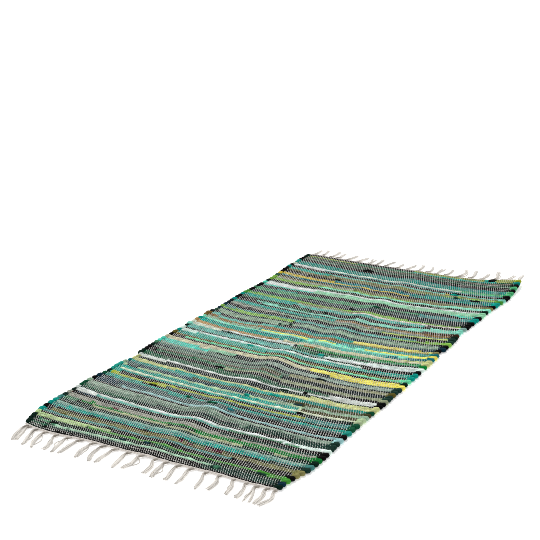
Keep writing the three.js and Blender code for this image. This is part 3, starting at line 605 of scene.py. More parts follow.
# The drift of the rows, worked out once on an even grid of places across by rows
driftStep = 10.0
driftX = np.arange(-420, 421, driftStep)
driftShare = np.linspace(0, 1, rugForm["rows"] + 1)
driftLines = np.stack([smoothRead(rowDrift["across"], line, driftX) for _, line in rowDrift["rows"]])
driftGrid = smoothRead([row / rugForm["rows"] for row, _ in rowDrift["rows"]], driftLines, driftShare)


def driftAt(x, share):
    u = np.clip((x - driftX[0]) / driftStep, 0, len(driftX) - 1.001)
    v = np.clip(share * rugForm["rows"], 0, rugForm["rows"] - 0.001)
    i, j = u.astype(int), v.astype(int)
    u, v = u - i, v - j
    low = driftGrid[j, i] * (1 - u) + driftGrid[j, i + 1] * u
    high = driftGrid[j + 1, i] * (1 - u) + driftGrid[j + 1, i + 1] * u
    return low * (1 - v) + high * v


# One at its middle, and down to nothing at half its width
def bump(distance, half):
    return 0.5 * (1 + np.cos(np.pi * np.minimum(np.abs(distance) / half, 1)))


# Where a row lies along the rug, at its share of the way from the near end
def rowPlace(x, share):
    x, share = np.broadcast_arrays(np.asarray(x, float), np.asarray(share, float))
    near = np.interp(x, *zip(*rugForm["nearEnd"]))
    far = np.interp(x, *zip(*rugForm["farEnd"]))
    bow = rugForm["sideBow"] * (x / rugForm["bowHalfWidth"]) ** 2 * np.sin(np.pi * share)
    return near + (far - near) * share + bow + driftAt(x, share)


# How far the folds lift the cloth off the floor
def foldLift(x, y):
    stops, creaseX, ridge, left, right = zip(*rugForm["crease"])
    aside = x - np.interp(y, stops, creaseX)
    corner = rugForm["farEnd"][-1]
    return (
        np.interp(y, stops, ridge) * bump(aside, rugForm["ridgeHalfWidth"])
        + np.interp(y, stops, left) * bump(aside + rugForm["humpOffset"], rugForm["humpHalfWidth"])
        + np.interp(y, stops, right) * bump(aside - rugForm["humpOffset"], rugForm["humpHalfWidth"])
        + rugForm["cornerLift"] * bump(np.hypot(x - corner[0], y - corner[1]), rugForm["cornerReach"])
    )


# The left and right edges, at a share of the way from the near end
def sidesAt(share):
    stops, left, right = zip(*rugForm["sides"])
    row = share * rugForm["rows"]
    return smoothRead(stops, left, row), smoothRead(stops, right, row)


# A rag's colour as light, 0 to 1
def linearColour(name):
    return (np.array(ragColours[name]) / 255.0) ** screenGamma


# A wobble that changes smoothly from step to step: random values, blurred over a few steps
def smoothNoise(count, reach):
    raw = dice.standard_normal(count + 6 * reach)
    kernel = np.hanning(2 * reach + 3)
    kernel /= np.sqrt((kernel**2).sum())
    return np.convolve(raw, kernel, mode="same")[3 * reach:3 * reach + count]


# Values blurred over two steps to each side
def smoothSteps(values):
    padded = np.concatenate([values[:1].repeat(2), values, values[-1:].repeat(2)])
    return np.convolve(padded, [0.1, 0.2, 0.4, 0.2, 0.1], mode="valid")


# Builds one mesh object from tubes. Each tube is an array of rings of points, with a colour
# for each ring. Its ends are closed.
def tubesToMesh(name, tubes, colours):
    points, quads, caps, tints = [], [], [], []
    start = 0
    for rings, tint in zip(tubes, colours):
        count, corners = rings.shape[:2]
        ring = np.arange(count - 1)[:, None] * corners + np.arange(corners)[None, :]
        after = np.arange(count - 1)[:, None] * corners + (np.arange(corners)[None, :] + 1) % corners
        quad = np.stack([ring, after, after + corners, ring + corners], axis=-1).reshape(-1, 4) + start
        quads.append(quad)
        caps.append(start + np.arange(corners)[::-1])
        caps.append(start + (count - 1) * corners + np.arange(corners))
        points.append(rings.reshape(-1, 3))
        tints.append(np.repeat(tint, corners, axis=0))
        start += count * corners
    points = np.concatenate(points)
    quads = np.concatenate(quads)
    loops = np.concatenate([quads.ravel(), np.concatenate(caps)])
    capSizes = np.array([len(cap) for cap in caps])
    sizes = np.concatenate([np.full(len(quads), 4), capSizes])
    mesh = bpy.data.meshes.new(name)
    mesh.vertices.add(len(points))
    mesh.vertices.foreach_set("co", points.astype(np.float32).ravel())
    mesh.loops.add(len(loops))
    mesh.loops.foreach_set("vertex_index", loops.astype(np.int32))
    mesh.polygons.add(len(sizes))
    mesh.polygons.foreach_set("loop_start", (np.cumsum(sizes) - sizes).astype(np.int32))
    mesh.polygons.foreach_set("use_smooth", np.ones(len(sizes), bool))
    mesh.update(calc_edges=True)
    mesh.validate()
    rgba = np.ones((len(points), 4), np.float32)
    rgba[:, :3] = np.concatenate(tints)
    mesh.color_attributes.new("ragColour", "FLOAT_COLOR", "POINT").data.foreach_set("color", rgba.ravel())
    piece = bpy.data.objects.new(name, mesh)
    bpy.context.scene.collection.objects.link(piece)
    print("made", name, "with", int((sizes - 2).sum()), "triangles")
    return piece


# The colour of the rag at each place (x, row) of the rug, its stripe's number, and how far a loose
# end stands up there
def ragsAt(x, row, left, right):
    tint = np.tile(linearColour("charcoal"), (len(x), 1))
    which = np.full(len(x), -1)
    tuft = np.zeros(len(x))
    bare = np.ones(len(x), bool)
    gap = np.full(len(x), weft["spreadRows"])
    for number, (colour, rows, path) in enumerate(stripes):
        xs, centres = zip(*path)
        reach = rows + weft["spreadRows"]
        if row + 0.5 < min(centres) - reach or row + 0.5 > max(centres) + reach:
            continue
        across = (x >= xs[0]) & (x <= xs[-1])
        length = xs[-1] - xs[0]
        centre = np.interp(x, xs, centres)
        away = np.abs(centre - row - 0.5) - rows / 2
        inside = across & ((np.floor(centre) == row) if rows <= weft["singleRow"] else (away < 0))
        # where no stripe lies, the nearest long one spreads out
        if length > weft["tuftLength"]:
            beside = across & bare & (away < gap)
            tint[beside] = linearColour(colour)
            which[beside] = number
            gap[beside] = away[beside]
        tint[inside] = linearColour(colour)
        which[inside] = number
        bare[inside] = False
        # a short rag is the end of one that stands up out of the cloth
        if length < weft["tuftLength"] and rows >= 1 and inside.any():
            middle, half = (xs[0] + xs[-1]) / 2, length / 2 + weft["tuftMargin"]
            ragged = 1 + weft["tuftRaggedness"] * smoothNoise(len(x), 1)
            arch = np.clip(1 - ((x - middle) / half) ** 2, 0, 1)
            tuft = np.maximum(tuft, weft["tuftLift"] * arch * ragged)
    for loops, onSide in ((rightLoops, x > right - rightLoopDepth), (leftLoops, x < left + leftLoopDepth)):
        tint[onSide] = linearColour(loopColour(loops, row + 0.5))
        which[onSide] = -2
    return tint, which, tuft


def loopColour(loops, row):
    return next(colour for colour, last in loops if row <= last)


# The weft: one rag after another, over and under the warp, turning at each side
weft = {
    "halfWidth": 4.0,
    "halfHeight": 3.3,
    "flatShare": 0.5,  # of the half width, along which the top and bottom are flat
    "pinch": 1.5,  # where a warp thread presses into it
    "unevenWidth": 0.13,
    "unevenHeight": 0.12,
    "stray": 0.8,
    "lump": 0.28,  # more height where two rags are joined
    "lumpReach": 3,
    "mostLump": 0.35,
    "singleRow": 1.1,  # a stripe no wider than this takes one row, the one that its middle is in
    "spreadRows": 2.0,
    "tuftLength": 33,
    "tuftLift": 1.7,
    "tuftMargin": 3,
    "tuftRaggedness": 0.35,
    "tuftWidening": 0.35,  # for each millimetre that it stands up
    "leastTuft": 0.4,  # a warp thread presses in where a tuft is lower
    "edgeSwell": 40,  # the rags are fuller this close to the sides
    "edgePinch": 0.45,  # share of the pinch at the very edge
    "paleSwell": 0.16,  # how much fatter the palest rags are than the darkest
    "fineShade": 0.16,
    "slowShade": 0.08,
    "rowShade": 0.02,
    "darkest": 0.004,
    "loopHalfWidth": 4.9,
    "loopHalfHeight": 4.5,
    "loopWidest": 5.8,
    "loopHighest": 5.3,
    "loopSwing": 2.2,  # the most that one reaches out past its neighbours
    "loopInset": 1.1,
    "loopUneven": 0.08,
    "loopRoot": -9,  # a loop swings from here outwards
    "floorGap": 0.15,
    "bands": [(0, 58), (58, 116), (116, 172)],
    "cloth": (0.70, 1.40),  # as it was woven
}
brightness = np.array([0.3, 0.59, 0.11])  # of red, green and blue to the eye


# One row, at the places where it crosses the warp
def weftRow(row):
    form = rugForm
    share = (row + 0.5) / form["rows"]
    left, right = sidesAt(np.array([share]))
    inset = form["edgeInset"]
    span = right[0] - left[0] - 2 * inset
    warpX = left[0] + inset + (np.arange(form["warps"]) + 0.5) / form["warps"] * span
    over = (np.arange(form["warps"]) + row) % 2 == 0  # the warp lies over the rag here
    tint, which, tuft = ragsAt(warpX, row, left[0], right[0])
    lump = np.zeros(len(warpX))
    for join in np.flatnonzero(np.diff(which) != 0):
        lump += weft["lump"] * bump(np.arange(len(warpX)) - join - 0.5, weft["lumpReach"])
    noise = smoothNoise(len(warpX), 3)
    slow = smoothNoise(len(warpX), 12)
    halfWidth = weft["halfWidth"] * (1 + weft["unevenWidth"] * noise)
    halfHeight = weft["halfHeight"] * (1 + weft["unevenHeight"] * noise + np.minimum(lump, weft["mostLump"]))
    y = rowPlace(warpX, share) + weft["stray"] * slow
    pale = smoothSteps(tint @ brightness)
    halfWidth = halfWidth * (1 + weft["paleSwell"] * pale) + weft["tuftWidening"] * tuft
    halfHeight *= 1 + weft["paleSwell"] * pale
    z = form["middleHeight"] + foldLift(warpX, y)
    shade = 1 + weft["fineShade"] * smoothNoise(len(warpX), 1) + weft["slowShade"] * slow
    rowTint = 1 + weft["rowShade"] * dice.standard_normal(3)
    tint = np.clip(tint * shade[:, None] * rowTint, weft["darkest"], 1)
    edge = np.minimum(warpX - left[0], right[0] - warpX)
    least = weft["edgePinch"]
    pinch = weft["pinch"] * (least + (1 - least) * np.clip(edge / weft["edgeSwell"], 0, 1))
    return {
        "x": warpX, "y": y, "z": z, "halfWidth": halfWidth, "halfHeight": halfHeight,
        "top": np.where(over & (tuft < weft["leastTuft"]), pinch, 0) - tuft,
        "bottom": np.where(over, 0, weft["pinch"]),
        "tint": tint, "left": left[0], "right": right[0],
    }


# How a loop turns: outward from the edge, along from one row to the next, height and size
rightTurn = [
    (-13, 0.00, 0.8, 0.6), (-7.5, -0.10, 2.4, 1.0), (-2.6, 0.00, 2.8, 1.15), (-0.8, 0.34, 2.6, 1.25),
    (-0.9, 0.68, 2.0, 1.2), (-2.8, 1.02, 1.2, 1.0), (-8.0, 1.12, 0.4, 0.8), (-13, 1.00, 0.0, 0.6),
]
leftTurn = [
    (-13, 0.00, 0.8, 0.6), (-8.5, -0.20, 1.8, 0.9), (-5.4, -0.16, 2.0, 1.0), (-4.6, 0.28, 1.9, 1.05),
    (-4.6, 0.72, 1.5, 1.05), (-5.6, 1.16, 0.9, 0.95), (-8.5, 1.20, 0.3, 0.8), (-13, 1.00, 0.0, 0.6),
]


# A loop around the outermost warp, from one row's end to the next row's start
def weftLoop(here, following, onRight, row):
    end = -1 if onRight else 0
    side = 1 if onRight else -1
    edge = here["right"] if onRight else here["left"]
    turn = rightTurn if onRight else leftTurn
    swing = weft["loopSwing"] * dice.random()
    grow = 1 + weft["loopUneven"] * dice.standard_normal()
    colour = linearColour(loopColour(rightLoops if onRight else leftLoops, row + 1.0))
    colour = colour * (1 + weft["loopUneven"] * dice.standard_normal())
    rowStops, *sideReaches = zip(*rugForm["loopReach"])
    reach = np.interp(row + 1, rowStops, sideReaches[1 if onRight else 0])
    y0, y1 = here["y"][end], following["y"][end]
    z0, z1 = here["z"][end], following["z"][end]
    loop = {key: [] for key in ("x", "y", "z", "halfWidth", "halfHeight", "tint")}
    for outward, along, height, size in turn:
        inward = (weft["loopInset"] - swing - reach) * (outward > weft["loopRoot"])
        loop["x"].append(edge + side * (outward - inward))
        loop["y"].append(y0 + (y1 - y0) * along)
        loop["z"].append(z0 + (z1 - z0) * along + height)
        # its width changes a quarter as much as its size
        wide = weft["loopHalfWidth"] * (0.75 + 0.25 * size) * grow
        rise = (weft["loopHalfHeight"] - weft["halfHeight"]) * size * grow
        loop["halfWidth"].append(min(wide, weft["loopWidest"]))
        loop["halfHeight"].append(min(weft["halfHeight"] + rise, weft["loopHighest"]))
        loop["tint"].append(colour)
    loop = {key: np.array(value) for key, value in loop.items()}
    loop["top"] = loop["bottom"] = np.zeros(len(turn))
    return loop


# A rag's section has six corners: two on top, one on each side and two below
def weftRings(path):
    plan = np.stack([path["x"], path["y"]], axis=1)
    along = np.gradient(plan, axis=0)
    along /= np.linalg.norm(along, axis=1)[:, None]
    aside = np.stack([-along[:, 1], along[:, 0], np.zeros(len(plan))], axis=1)
    centre = np.stack([path["x"], path["y"], path["z"]], axis=1)
    wide, high, flat = path["halfWidth"], path["halfHeight"], weft["flatShare"]
    corners = [
        (wide, 0 * high),
        (flat * wide, high - path["top"]),
        (-flat * wide, high - path["top"]),
        (-wide, 0 * high),
        (-flat * wide, path["bottom"] - high),
        (flat * wide, path["bottom"] - high),
    ]
    rings = np.stack([centre + aside * a[:, None] + up * b[:, None] for a, b in corners], axis=1)
    rings[..., 2] = np.maximum(rings[..., 2], weft["floorGap"])
    return rings * mm


# A band of rows as one long rag, with a loop at each turn
def makeWeft(rows, first, last):
    parts = []
    for row in range(first, last):
        toRight = row % 2 == 0
        here = rows[row]
        keys = ("x", "y", "z", "halfWidth", "halfHeight", "top", "bottom", "tint")
        parts.append({key: here[key] if toRight else here[key][::-1] for key in keys})
        if row + 1 < len(rows):
            parts.append(weftLoop(here, rows[row + 1], toRight, row))
    path = {key: np.concatenate([part[key] for part in parts]) for key in parts[0]}
    return tubesToMesh(f"ragWeft_{first}_{last}", [weftRings(path)], [path["tint"]])


# The warp: cotton threads over one row and under the next
warp = {
    "halfWidth": 0.68,
    "crown": 0.75,
    "floorSide": 0.3,
    "overHeight": 2.75,
    "underHeight": 2.9,
    "overReach": 0.24,  # rows on each side of the crossing
    "uneven": 0.12,
    "colour": (0.89, 0.87, 0.83),
    "lintAndBounce": 0.15,  # how far it takes on the rags' colours, from their lint and as painted light bounced from them
    "lintAndBounceOffset": 0.02,  # added to those, so that a black rag tints it grey
}


def makeWarp(name, first, last):
    form = rugForm
    tubes, tints = [], []
    for thread in range(first, last):
        stops, heights, nearby = [], [], []
        for row in range(form["rows"]):
            isOver = (thread + row) % 2 == 0
            crossing = [-warp["overReach"], warp["overReach"]] if isOver else [0]
            stops += [row + 0.5 + offset for offset in crossing]
            heights += [warp["overHeight"] if isOver else -warp["underHeight"]] * len(crossing)
            nearby += [rows[row]["tint"][thread]] * len(crossing)
        share = np.array(stops) / form["rows"]
        left, right = sidesAt(share)
        inset = form["edgeInset"]
        x = left + inset + (thread + 0.5) / form["warps"] * (right - left - 2 * inset)
        y = rowPlace(x, share)
        z = form["middleHeight"] + foldLift(x, y) + np.array(heights)
        centre = np.stack([x, y, z], axis=1)
        along = np.gradient(centre[:, :2], axis=0)
        along /= np.linalg.norm(along, axis=1)[:, None]
        aside = np.stack([along[:, 1], -along[:, 0], np.zeros(len(x))], axis=1)
        size = 1 + warp["uneven"] * smoothNoise(len(x), 2)
        wide = (warp["halfWidth"] * size)[:, None]
        over = np.array(heights)[:, None] > 0
        crown = np.where(over, warp["crown"], -warp["crown"])
        seat = np.where(over, -warp["floorSide"], warp["floorSide"])
        corners = [centre + aside * wide + up * seat, centre + up * crown, centre - aside * wide + up * seat]
        tubes.append(np.stack(corners, axis=1) * mm)
        # lint from the rags, and painted light bounced from them, tint the cotton
        nearby = np.array(nearby)
        nearby = (nearby + warp["lintAndBounceOffset"]) / (nearby.max(axis=1)[:, None] + warp["lintAndBounceOffset"])
        tints.append(np.array(warp["colour"]) * (1 - warp["lintAndBounce"] * (1 - nearby)))
    return tubesToMesh(name, tubes, tints)


print("weaving")
rows = [weftRow(row) for row in range(rugForm["rows"])]
weftPieces = [makeWeft(rows, first, last) for first, last in weft["bands"]]
middleWarp = rugForm["warps"] // 2
warpPieces = [makeWarp("warpLeft", 0, middleWarp), makeWarp("warpRight", middleWarp, rugForm["warps"])]

# Edge cord: the warp ends run sideways, twisted, before they leave as tassels
edgeCord = {
    "plies": 3,
    "plyRadius": 1.45,
    "twistRadius": 1.2,
    "twistPitch": 26,
    "out": 1.9,
    "height": 4.2,
    "colour": (0.78, 0.73, 0.68),
    "uneven": 0.10,
    "step": 3.2,
    "corners": 6,
    "inset": 4,
}

# Tassels: where each leaves its cord, how far it leans, bends and reaches, how wide its tip
# spreads, how wavy its threads are, how far it splits in two, and how far a thread hangs loose
tasselThreads = 11
nearTassels = [
    (-341, 20, -3, 74, 5, 1.4, 0, 0), (-331, 20, -3, 68, 7, 1.8, 0, 0), (-309, 26, 0, 76, 5, 1.5, 0, 7),
    (-279, 23, -3, 77, 4, 1.6, 0, 13), (-247, 27, 2, 70, 8, 2.4, 0, -7), (-210, 14, -3, 74, 7, 2.0, 0, -11),
    (-177, -2, -2, 74, 6, 1.6, 0, 0), (-140, 7, -3, 75, 6, 2.6, 0, 8), (-111, 16, -5, 74, 5, 1.8, 0, 0),
    (-76, -1, -2, 73, 7, 1.6, 1, 0), (-42, 15, 0, 76, 5, 1.4, 0, 0), (-4, -1, 2, 67, 8, 2.2, 0, 14),
    (31, 21, 6, 65, 8, 1.4, 0, 0), (62, 15, 0, 72, 7, 2.8, 0, 10), (96, 14, 0, 68, 9, 1.8, 0, 0),
    (129, 13, 1, 72, 5, 1.8, 0, 0), (166, 24, 4, 73, 5, 1.4, 0, 0), (199, 18, 9, 64, 8, 1.8, 0, 0),
    (236, 27, 8, 63, 5, 1.6, 0, -8), (270, 18, 9, 64, 8, 1.6, 0, 0), (299, 20, 0, 67, 7, 1.8, 4, 0),
    (323, 15, 5, 68, 7, 1.8, 0, 0), (341, 8, 13, 72, 6, 1.6, 0, 0),
]
farTassels = [
    (-318, -3, 2, 54, 6, 1.6, 0, 9), (-292, -10, 5, 61, 6, 1.6, 0, 0), (-262, 3, 3, 63, 6, 1.6, 0, 0),
    (-238, 2, 3, 54, 5, 1.8, 0, 0), (-206, 14, 3, 55, 6, 1.6, 0, 0), (-168, 14, 4, 55, 6, 1.8, 0, 0),
    (-126, -3, 3, 50, 6, 1.6, 4, 0), (-100, -5, 3, 63, 6, 1.6, 0, 0), (-66, 4, -3, 58, 6, 1.6, 0, 0),
    (-31, 2, 3, 50, 5, 1.8, 0, 0), (5, 6, -2, 56, 6, 1.6, 0, 0), (40, -9, 4, 64, 6, 1.6, 0, 0),
    (70, -2, 4, 61, 6, 1.6, 0, 0), (97, 4, 2, 58, 6, 1.6, 3, 0), (130, 0, 4, 65, 6, 1.6, 0, 0),
    (168, 0, 7, 79, 6, 1.8, 0, -10), (206, -8, 5, 79, 7, 1.6, 0, 0), (240, 0, 4, 66, 6, 1.6, 0, 0),
    (277, -14, 4, 88, 5, 1.8, 0, -8), (306, 9, 3, 71, 7, 1.6, 0, 0), (342, -4, 2, 76, 7, 1.8, 0, 0),
]
tassel = {
    "stops": 17,
    "corners": 5,
    "rootRadius": 0.9,
    "threadRadius": 1.45,
    "tipRadius": 1.05,
    "coreRadius": 2.4,  # the threads packed in its middle, as one
    # at the near and the far end: how far aside it leaves the cord, how far out its throat lies,
    # and how full it is
    "rootShift": (11, 5),
    "throatOut": (8.5, 6),
    "fullness": (1, 0.8),
    "rootOut": 2.5,
    "rootShare": 0.2,  # of its length, over which it comes back from that
    # across the threads, at the cord, in the throat and after it, and what the spread adds
    "rootWidth": 3.5,
    "throatRadius": 1.9,
    "bodyRadius": 4.3,
    "lateSpread": 0.2,
    "tipSpread": 0.8,
    "innermost": 0.4,  # share of that width
    "angleStray": 0.6,
    "throatHeight": 4.0,
    "pile": [(0, 2.2), (0.3, 1.9), (1, 0.4)],  # how high its threads lie on one another, along it
    # shares of its length
    "landed": 0.32,
    "bodyEnd": 0.75,
    "thickFrom": 0.3,
    "thickTo": 0.8,
    "liftEnd": 0.35,
    "splitFrom": 0.3,
    "splitOver": 0.5,
    "shortest": 0.16,  # a thread is at most this much shorter than the tassel
    "sway": 0.7,  # of its waviness, for all its threads together
    "swayTurns": (0.8, 0.5),
    "waver": 0.35,  # of its waviness, for each thread by itself
    "colour": (0.86, 0.82, 0.76),
    "throatTwistAndShadeColour": (0.42, 0.38, 0.33),  # darker where twisted tight, and painted shade for the throat's own shadow
    "shades": [0.5, 1, 0.45, 0],  # of the throat's colour, which carries its painted shade: at the cord, in the throat and past it
    "shadeStops": [0.24, 0.4],
    "tints": (0.78, 0.26),  # the darkest thread, and how much paler the palest is
}
looseThread = {
    "radius": 1.15,
    "from": 0.15,
    "over": 0.75,
    "waver": 0.6,
    "length": 0.95,
    "heights": [0.8, 0.7],  # where the tassel has landed, and at its tip
    "tint": 0.8,
}
throatWrap = {
    "radius": 1.1,
    "turns": 1.6,
    "stops": 15,
    "reach": 0.02,  # to each side of the throat, as a share of the tassel's length
    "halfWidth": 2.4,
    "halfHeight": 2.2,
    "lift": 0.7,
}


# A tube of even sides along a line of points, with a radius at each of them
def roundTube(centre, radius, corners):
    along = np.gradient(centre, axis=0)
    along /= np.maximum(np.linalg.norm(along, axis=1), 1e-9)[:, None]
    aside = np.cross(along, up)
    flat = np.linalg.norm(aside, axis=1) < 0.05
    aside[flat] = np.array([1.0, 0.0, 0.0])
    aside /= np.linalg.norm(aside, axis=1)[:, None]
    above = np.cross(aside, along)
    turn = np.arange(corners) / corners * 2 * np.pi
    ring = aside[:, None, :] * np.cos(turn)[None, :, None] + above[:, None, :] * np.sin(turn)[None, :, None]
    return centre[:, None, :] + ring * np.asarray(radius)[:, None, None]


# The woven end's place along the rug, and how far the folds lift it
def edgeLine(isNear, x):
    y = rowPlace(x, 0.0 if isNear else 1.0)
    return y, foldLift(x, y)


# The edge cord: plies that twist round one another along the woven end
def cordTubes(isNear):
    outward = -1 if isNear else 1
    left, right = sidesAt(np.array([0.0 if isNear else 1.0]))
    x = np.arange(left[0] + edgeCord["inset"], right[0] - edgeCord["inset"], edgeCord["step"])
    y, lift = edgeLine(isNear, x)
    uneven = 1 + edgeCord["uneven"] * smoothNoise(len(x), 3)
    tubes, tints = [], []
    for ply in range(edgeCord["plies"]):
        turn = 2 * np.pi * (x / edgeCord["twistPitch"] + ply / edgeCord["plies"])
        across = edgeCord["out"] + edgeCord["twistRadius"] * np.cos(turn) * uneven
        height = edgeCord["height"] + edgeCord["twistRadius"] * np.sin(turn) * uneven
        centre = np.stack([x, y + outward * across, lift + height], axis=1)
        tubes.append(roundTube(centre, edgeCord["plyRadius"] * uneven, edgeCord["corners"]) * mm)
        tints.append(np.tile(edgeCord["colour"], (len(x), 1)))
    return tubes, tints


# A tassel's line over the floor, and a thread that lies this far aside from it
def tasselPath(place, isNear, t, aside, length):
    x0, lean, bend, reach = place[:4]
    outward = -1 if isNear else 1
    y0, lift0 = edgeLine(isNear, np.array([float(x0)]))
    rootShift = tassel["rootShift"][0 if isNear else 1]
    shift = -outward * rootShift * bump(np.minimum(t / tassel["rootShare"], 1), 1)
    middleX = x0 + shift + lean * t * length + bend * np.sin(np.pi * t)
    middleY = y0[0] + outward * (tassel["rootOut"] + (reach + tassel["rootOut"]) * t * length)
    slope = np.stack([np.gradient(middleX), np.gradient(middleY)], axis=1)
    slope /= np.linalg.norm(slope, axis=1)[:, None]
    return middleX - slope[:, 1] * aside, middleY + slope[:, 0] * aside, lift0[0]


# A thread of a tassel, kept on or above the floor
def threadTube(x, y, z, radius):
    return roundTube(np.stack([x, y, np.maximum(z, radius)], axis=1), radius, tassel["corners"]) * mm


# One tassel: its threads, the loose one if it has one, and the lock round its throat
def tasselTubes(place, isNear):
    reach, spread, wave, split, loose = place[3:]
    end = 0 if isNear else 1
    t = np.linspace(0, 1, tassel["stops"])
    throatT = tassel["throatOut"][end] / reach
    # painted shade: the threads darken towards the throat, where they twist tight and its shadow falls, and
    # lighten past it
    shade = np.interp(t, [0, throatT, *tassel["shadeStops"]], tassel["shades"])[:, None]
    tint = np.array(tassel["colour"]) * (1 - shade) + np.array(tassel["throatTwistAndShadeColour"]) * shade
    tubes, tints = [], []
    fewest, more = tassel["swayTurns"]
    swing = np.sin(2 * np.pi * (t * (fewest + more * dice.random()) + dice.random()))
    sway = tassel["sway"] * wave * swing * np.minimum(t * 2, 1)
    # threads come together in the throat, swell after it and part at the tip
    full = tassel["bodyRadius"] * tassel["fullness"][end]
    late, tip = full + tassel["lateSpread"] * spread, tassel["tipSpread"] * spread
    widths = [tassel["rootWidth"], tassel["throatRadius"], full, late, tip]
    body = np.interp(t, [0, throatT, tassel["landed"], tassel["bodyEnd"], 1], widths)
    raised = np.interp(t, [0, throatT, tassel["landed"], 1], [1, 1, 0, 0])
    inner = tassel["innermost"]
    darkest, paler = tassel["tints"]
    for thread in range(tasselThreads):
        angle = 2 * np.pi * thread / tasselThreads + tassel["angleStray"] * dice.random()
        isCore = thread == 0
        ringShare = 0 if isCore else inner + (1 - inner) * dice.random()
        aside = np.cos(angle) * ringShare * body + sway
        aside += wave * tassel["waver"] * smoothNoise(len(t), 2) * np.minimum(t * 3, 1)
        half = 1 if math.cos(angle) > 0 else -1
        aside += half * split * np.clip((t - tassel["splitFrom"]) / tassel["splitOver"], 0, 1)
        length = 1 - tassel["shortest"] * dice.random() ** 2
        x, y, lift = tasselPath(place, isNear, t, aside, length)
        pile = np.interp(t, *zip(*tassel["pile"]))
        layer = tassel["threadRadius"] + (1 + np.sin(angle)) * ringShare * pile
        high = tassel["throatHeight"] + np.sin(angle) * ringShare * tassel["throatRadius"]
        z = high * raised + layer * (1 - raised) + lift * np.clip(1 - t / tassel["liftEnd"], 0, 1)
        thick = tassel["coreRadius" if isCore else "threadRadius"]
        radii = [tassel["rootRadius"], thick, thick, tassel["tipRadius"]]
        radius = np.interp(t, [0, tassel["thickFrom"], tassel["thickTo"], 1], radii)
        tubes.append(threadTube(x, y, z, radius))
        tints.append(tint * (darkest + paler * dice.random()))
    if loose:
        bow = np.sin(np.pi * np.clip((t - looseThread["from"]) / looseThread["over"], 0, 1))
        aside = loose * bow + looseThread["waver"] * wave * smoothNoise(len(t), 2)
        x, y, lift = tasselPath(place, isNear, t, aside, looseThread["length"])
        heights = [tassel["throatHeight"]] * 2 + looseThread["heights"]
        z = np.interp(t, [0, throatT, tassel["landed"], 1], heights)
        tubes.append(threadTube(x, y, z, np.full(len(t), looseThread["radius"])))
        tints.append(tint * looseThread["tint"])
    # a lock that wraps round the throat
    turn = np.linspace(0, throatWrap["turns"] * 2 * np.pi, throatWrap["stops"])
    near = throatT + np.linspace(-throatWrap["reach"], throatWrap["reach"], len(turn))
    x, y, lift = tasselPath(place, isNear, near, np.cos(turn) * throatWrap["halfWidth"], 1)
    z = lift * throatWrap["lift"] + tassel["throatHeight"] + np.sin(turn) * throatWrap["halfHeight"]
    tubes.append(threadTube(x, y, z, np.full(len(turn), throatWrap["radius"])))
    # the lock takes the throat's dark colour: its tight twist, and painted shade
    tints.append(np.tile(tassel["throatTwistAndShadeColour"], (len(turn), 1)))
    return tubes, tints


print("tying tassels")
fringePieces = []
for name, places, isNear in (("tasselsNear", nearTassels, True), ("tasselsFar", farTassels, False)):
    tubes, tints = cordTubes(isNear)
    for place in places:
        threadTubes, threadTints = tasselTubes(place, isNear)
        tubes += threadTubes
        tints += threadTints
    fringePieces.append(tubesToMesh(name, tubes, tints))


# Finishes
def newSocket(group, name, kind, way, value=None):
    socket = group.interface.new_socket(name=name, in_out=way, socket_type=kind)
    if value is not None:
        socket.default_value = value
    return socket


# Cotton fibre: streaks that run with the thread, as a colour change and a height
def makeFibreGroup():
    group = bpy.data.node_groups.new("cottonFibre", "ShaderNodeTree")
    newSocket(group, "Colour", "NodeSocketColor", "INPUT", (0.5, 0.5, 0.5, 1))
    newSocket(group, "Streaks", "NodeSocketVector", "INPUT", (120, 900, 900))
    newSocket(group, "Contrast", "NodeSocketFloat", "INPUT", 0.3)
    newSocket(group, "Mottle", "NodeSocketFloat", "INPUT", 0.3)
    newSocket(group, "Colour", "NodeSocketColor", "OUTPUT")
    newSocket(group, "Height", "NodeSocketFloat", "OUTPUT")
    newSocket(group, "Roughness", "NodeSocketFloat", "OUTPUT")
    nodes, links = group.nodes, group.links
    given = nodes.new("NodeGroupInput")
    result = nodes.new("NodeGroupOutput")
    place = nodes.new("ShaderNodeTexCoord")
    scaled = nodes.new("ShaderNodeVectorMath")
    scaled.operation = "MULTIPLY"
    links.new(place.outputs["Object"], scaled.inputs[0])
    links.new(given.outputs["Streaks"], scaled.inputs[1])
    streak = nodes.new("ShaderNodeTexNoise")
    streak.inputs["Scale"].default_value = 1.0
    streak.inputs["Detail"].default_value = 4.0
    links.new(scaled.outputs[0], streak.inputs["Vector"])
    cloud = nodes.new("ShaderNodeTexNoise")
    cloud.inputs["Scale"].default_value = 70.0
    cloud.inputs["Detail"].default_value = 3.0
    links.new(place.outputs["Object"], cloud.inputs["Vector"])

    # 1 plus contrast times how far the noise is from its middle
    def around(noise, amount):
        less = nodes.new("ShaderNodeMath")
        less.operation = "SUBTRACT"
        less.inputs[1].default_value = 0.5
        links.new(noise.outputs["Fac"], less.inputs[0])
        times = nodes.new("ShaderNodeMath")
        times.operation = "MULTIPLY_ADD"
        links.new(less.outputs[0], times.inputs[0])
        links.new(amount, times.inputs[1])
        times.inputs[2].default_value = 1.0
        return times.outputs[0]

    both = nodes.new("ShaderNodeMath")
    both.operation = "MULTIPLY"
    links.new(around(streak, given.outputs["Contrast"]), both.inputs[0])
    links.new(around(cloud, given.outputs["Mottle"]), both.inputs[1])
    tinted = nodes.new("ShaderNodeVectorMath")
    tinted.operation = "SCALE"
    links.new(given.outputs["Colour"], tinted.inputs[0])
    links.new(both.outputs[0], tinted.inputs["Scale"])
    links.new(tinted.outputs[0], result.inputs["Colour"])
    links.new(streak.outputs["Fac"], result.inputs["Height"])
    rough = nodes.new("ShaderNodeMapRange")
    rough.inputs["To Min"].default_value = 0.82
    rough.inputs["To Max"].default_value = 1.0
    links.new(cloud.outputs["Fac"], rough.inputs["Value"])
    links.new(rough.outputs[0], result.inputs["Roughness"])
    return group


fibre = makeFibreGroup()


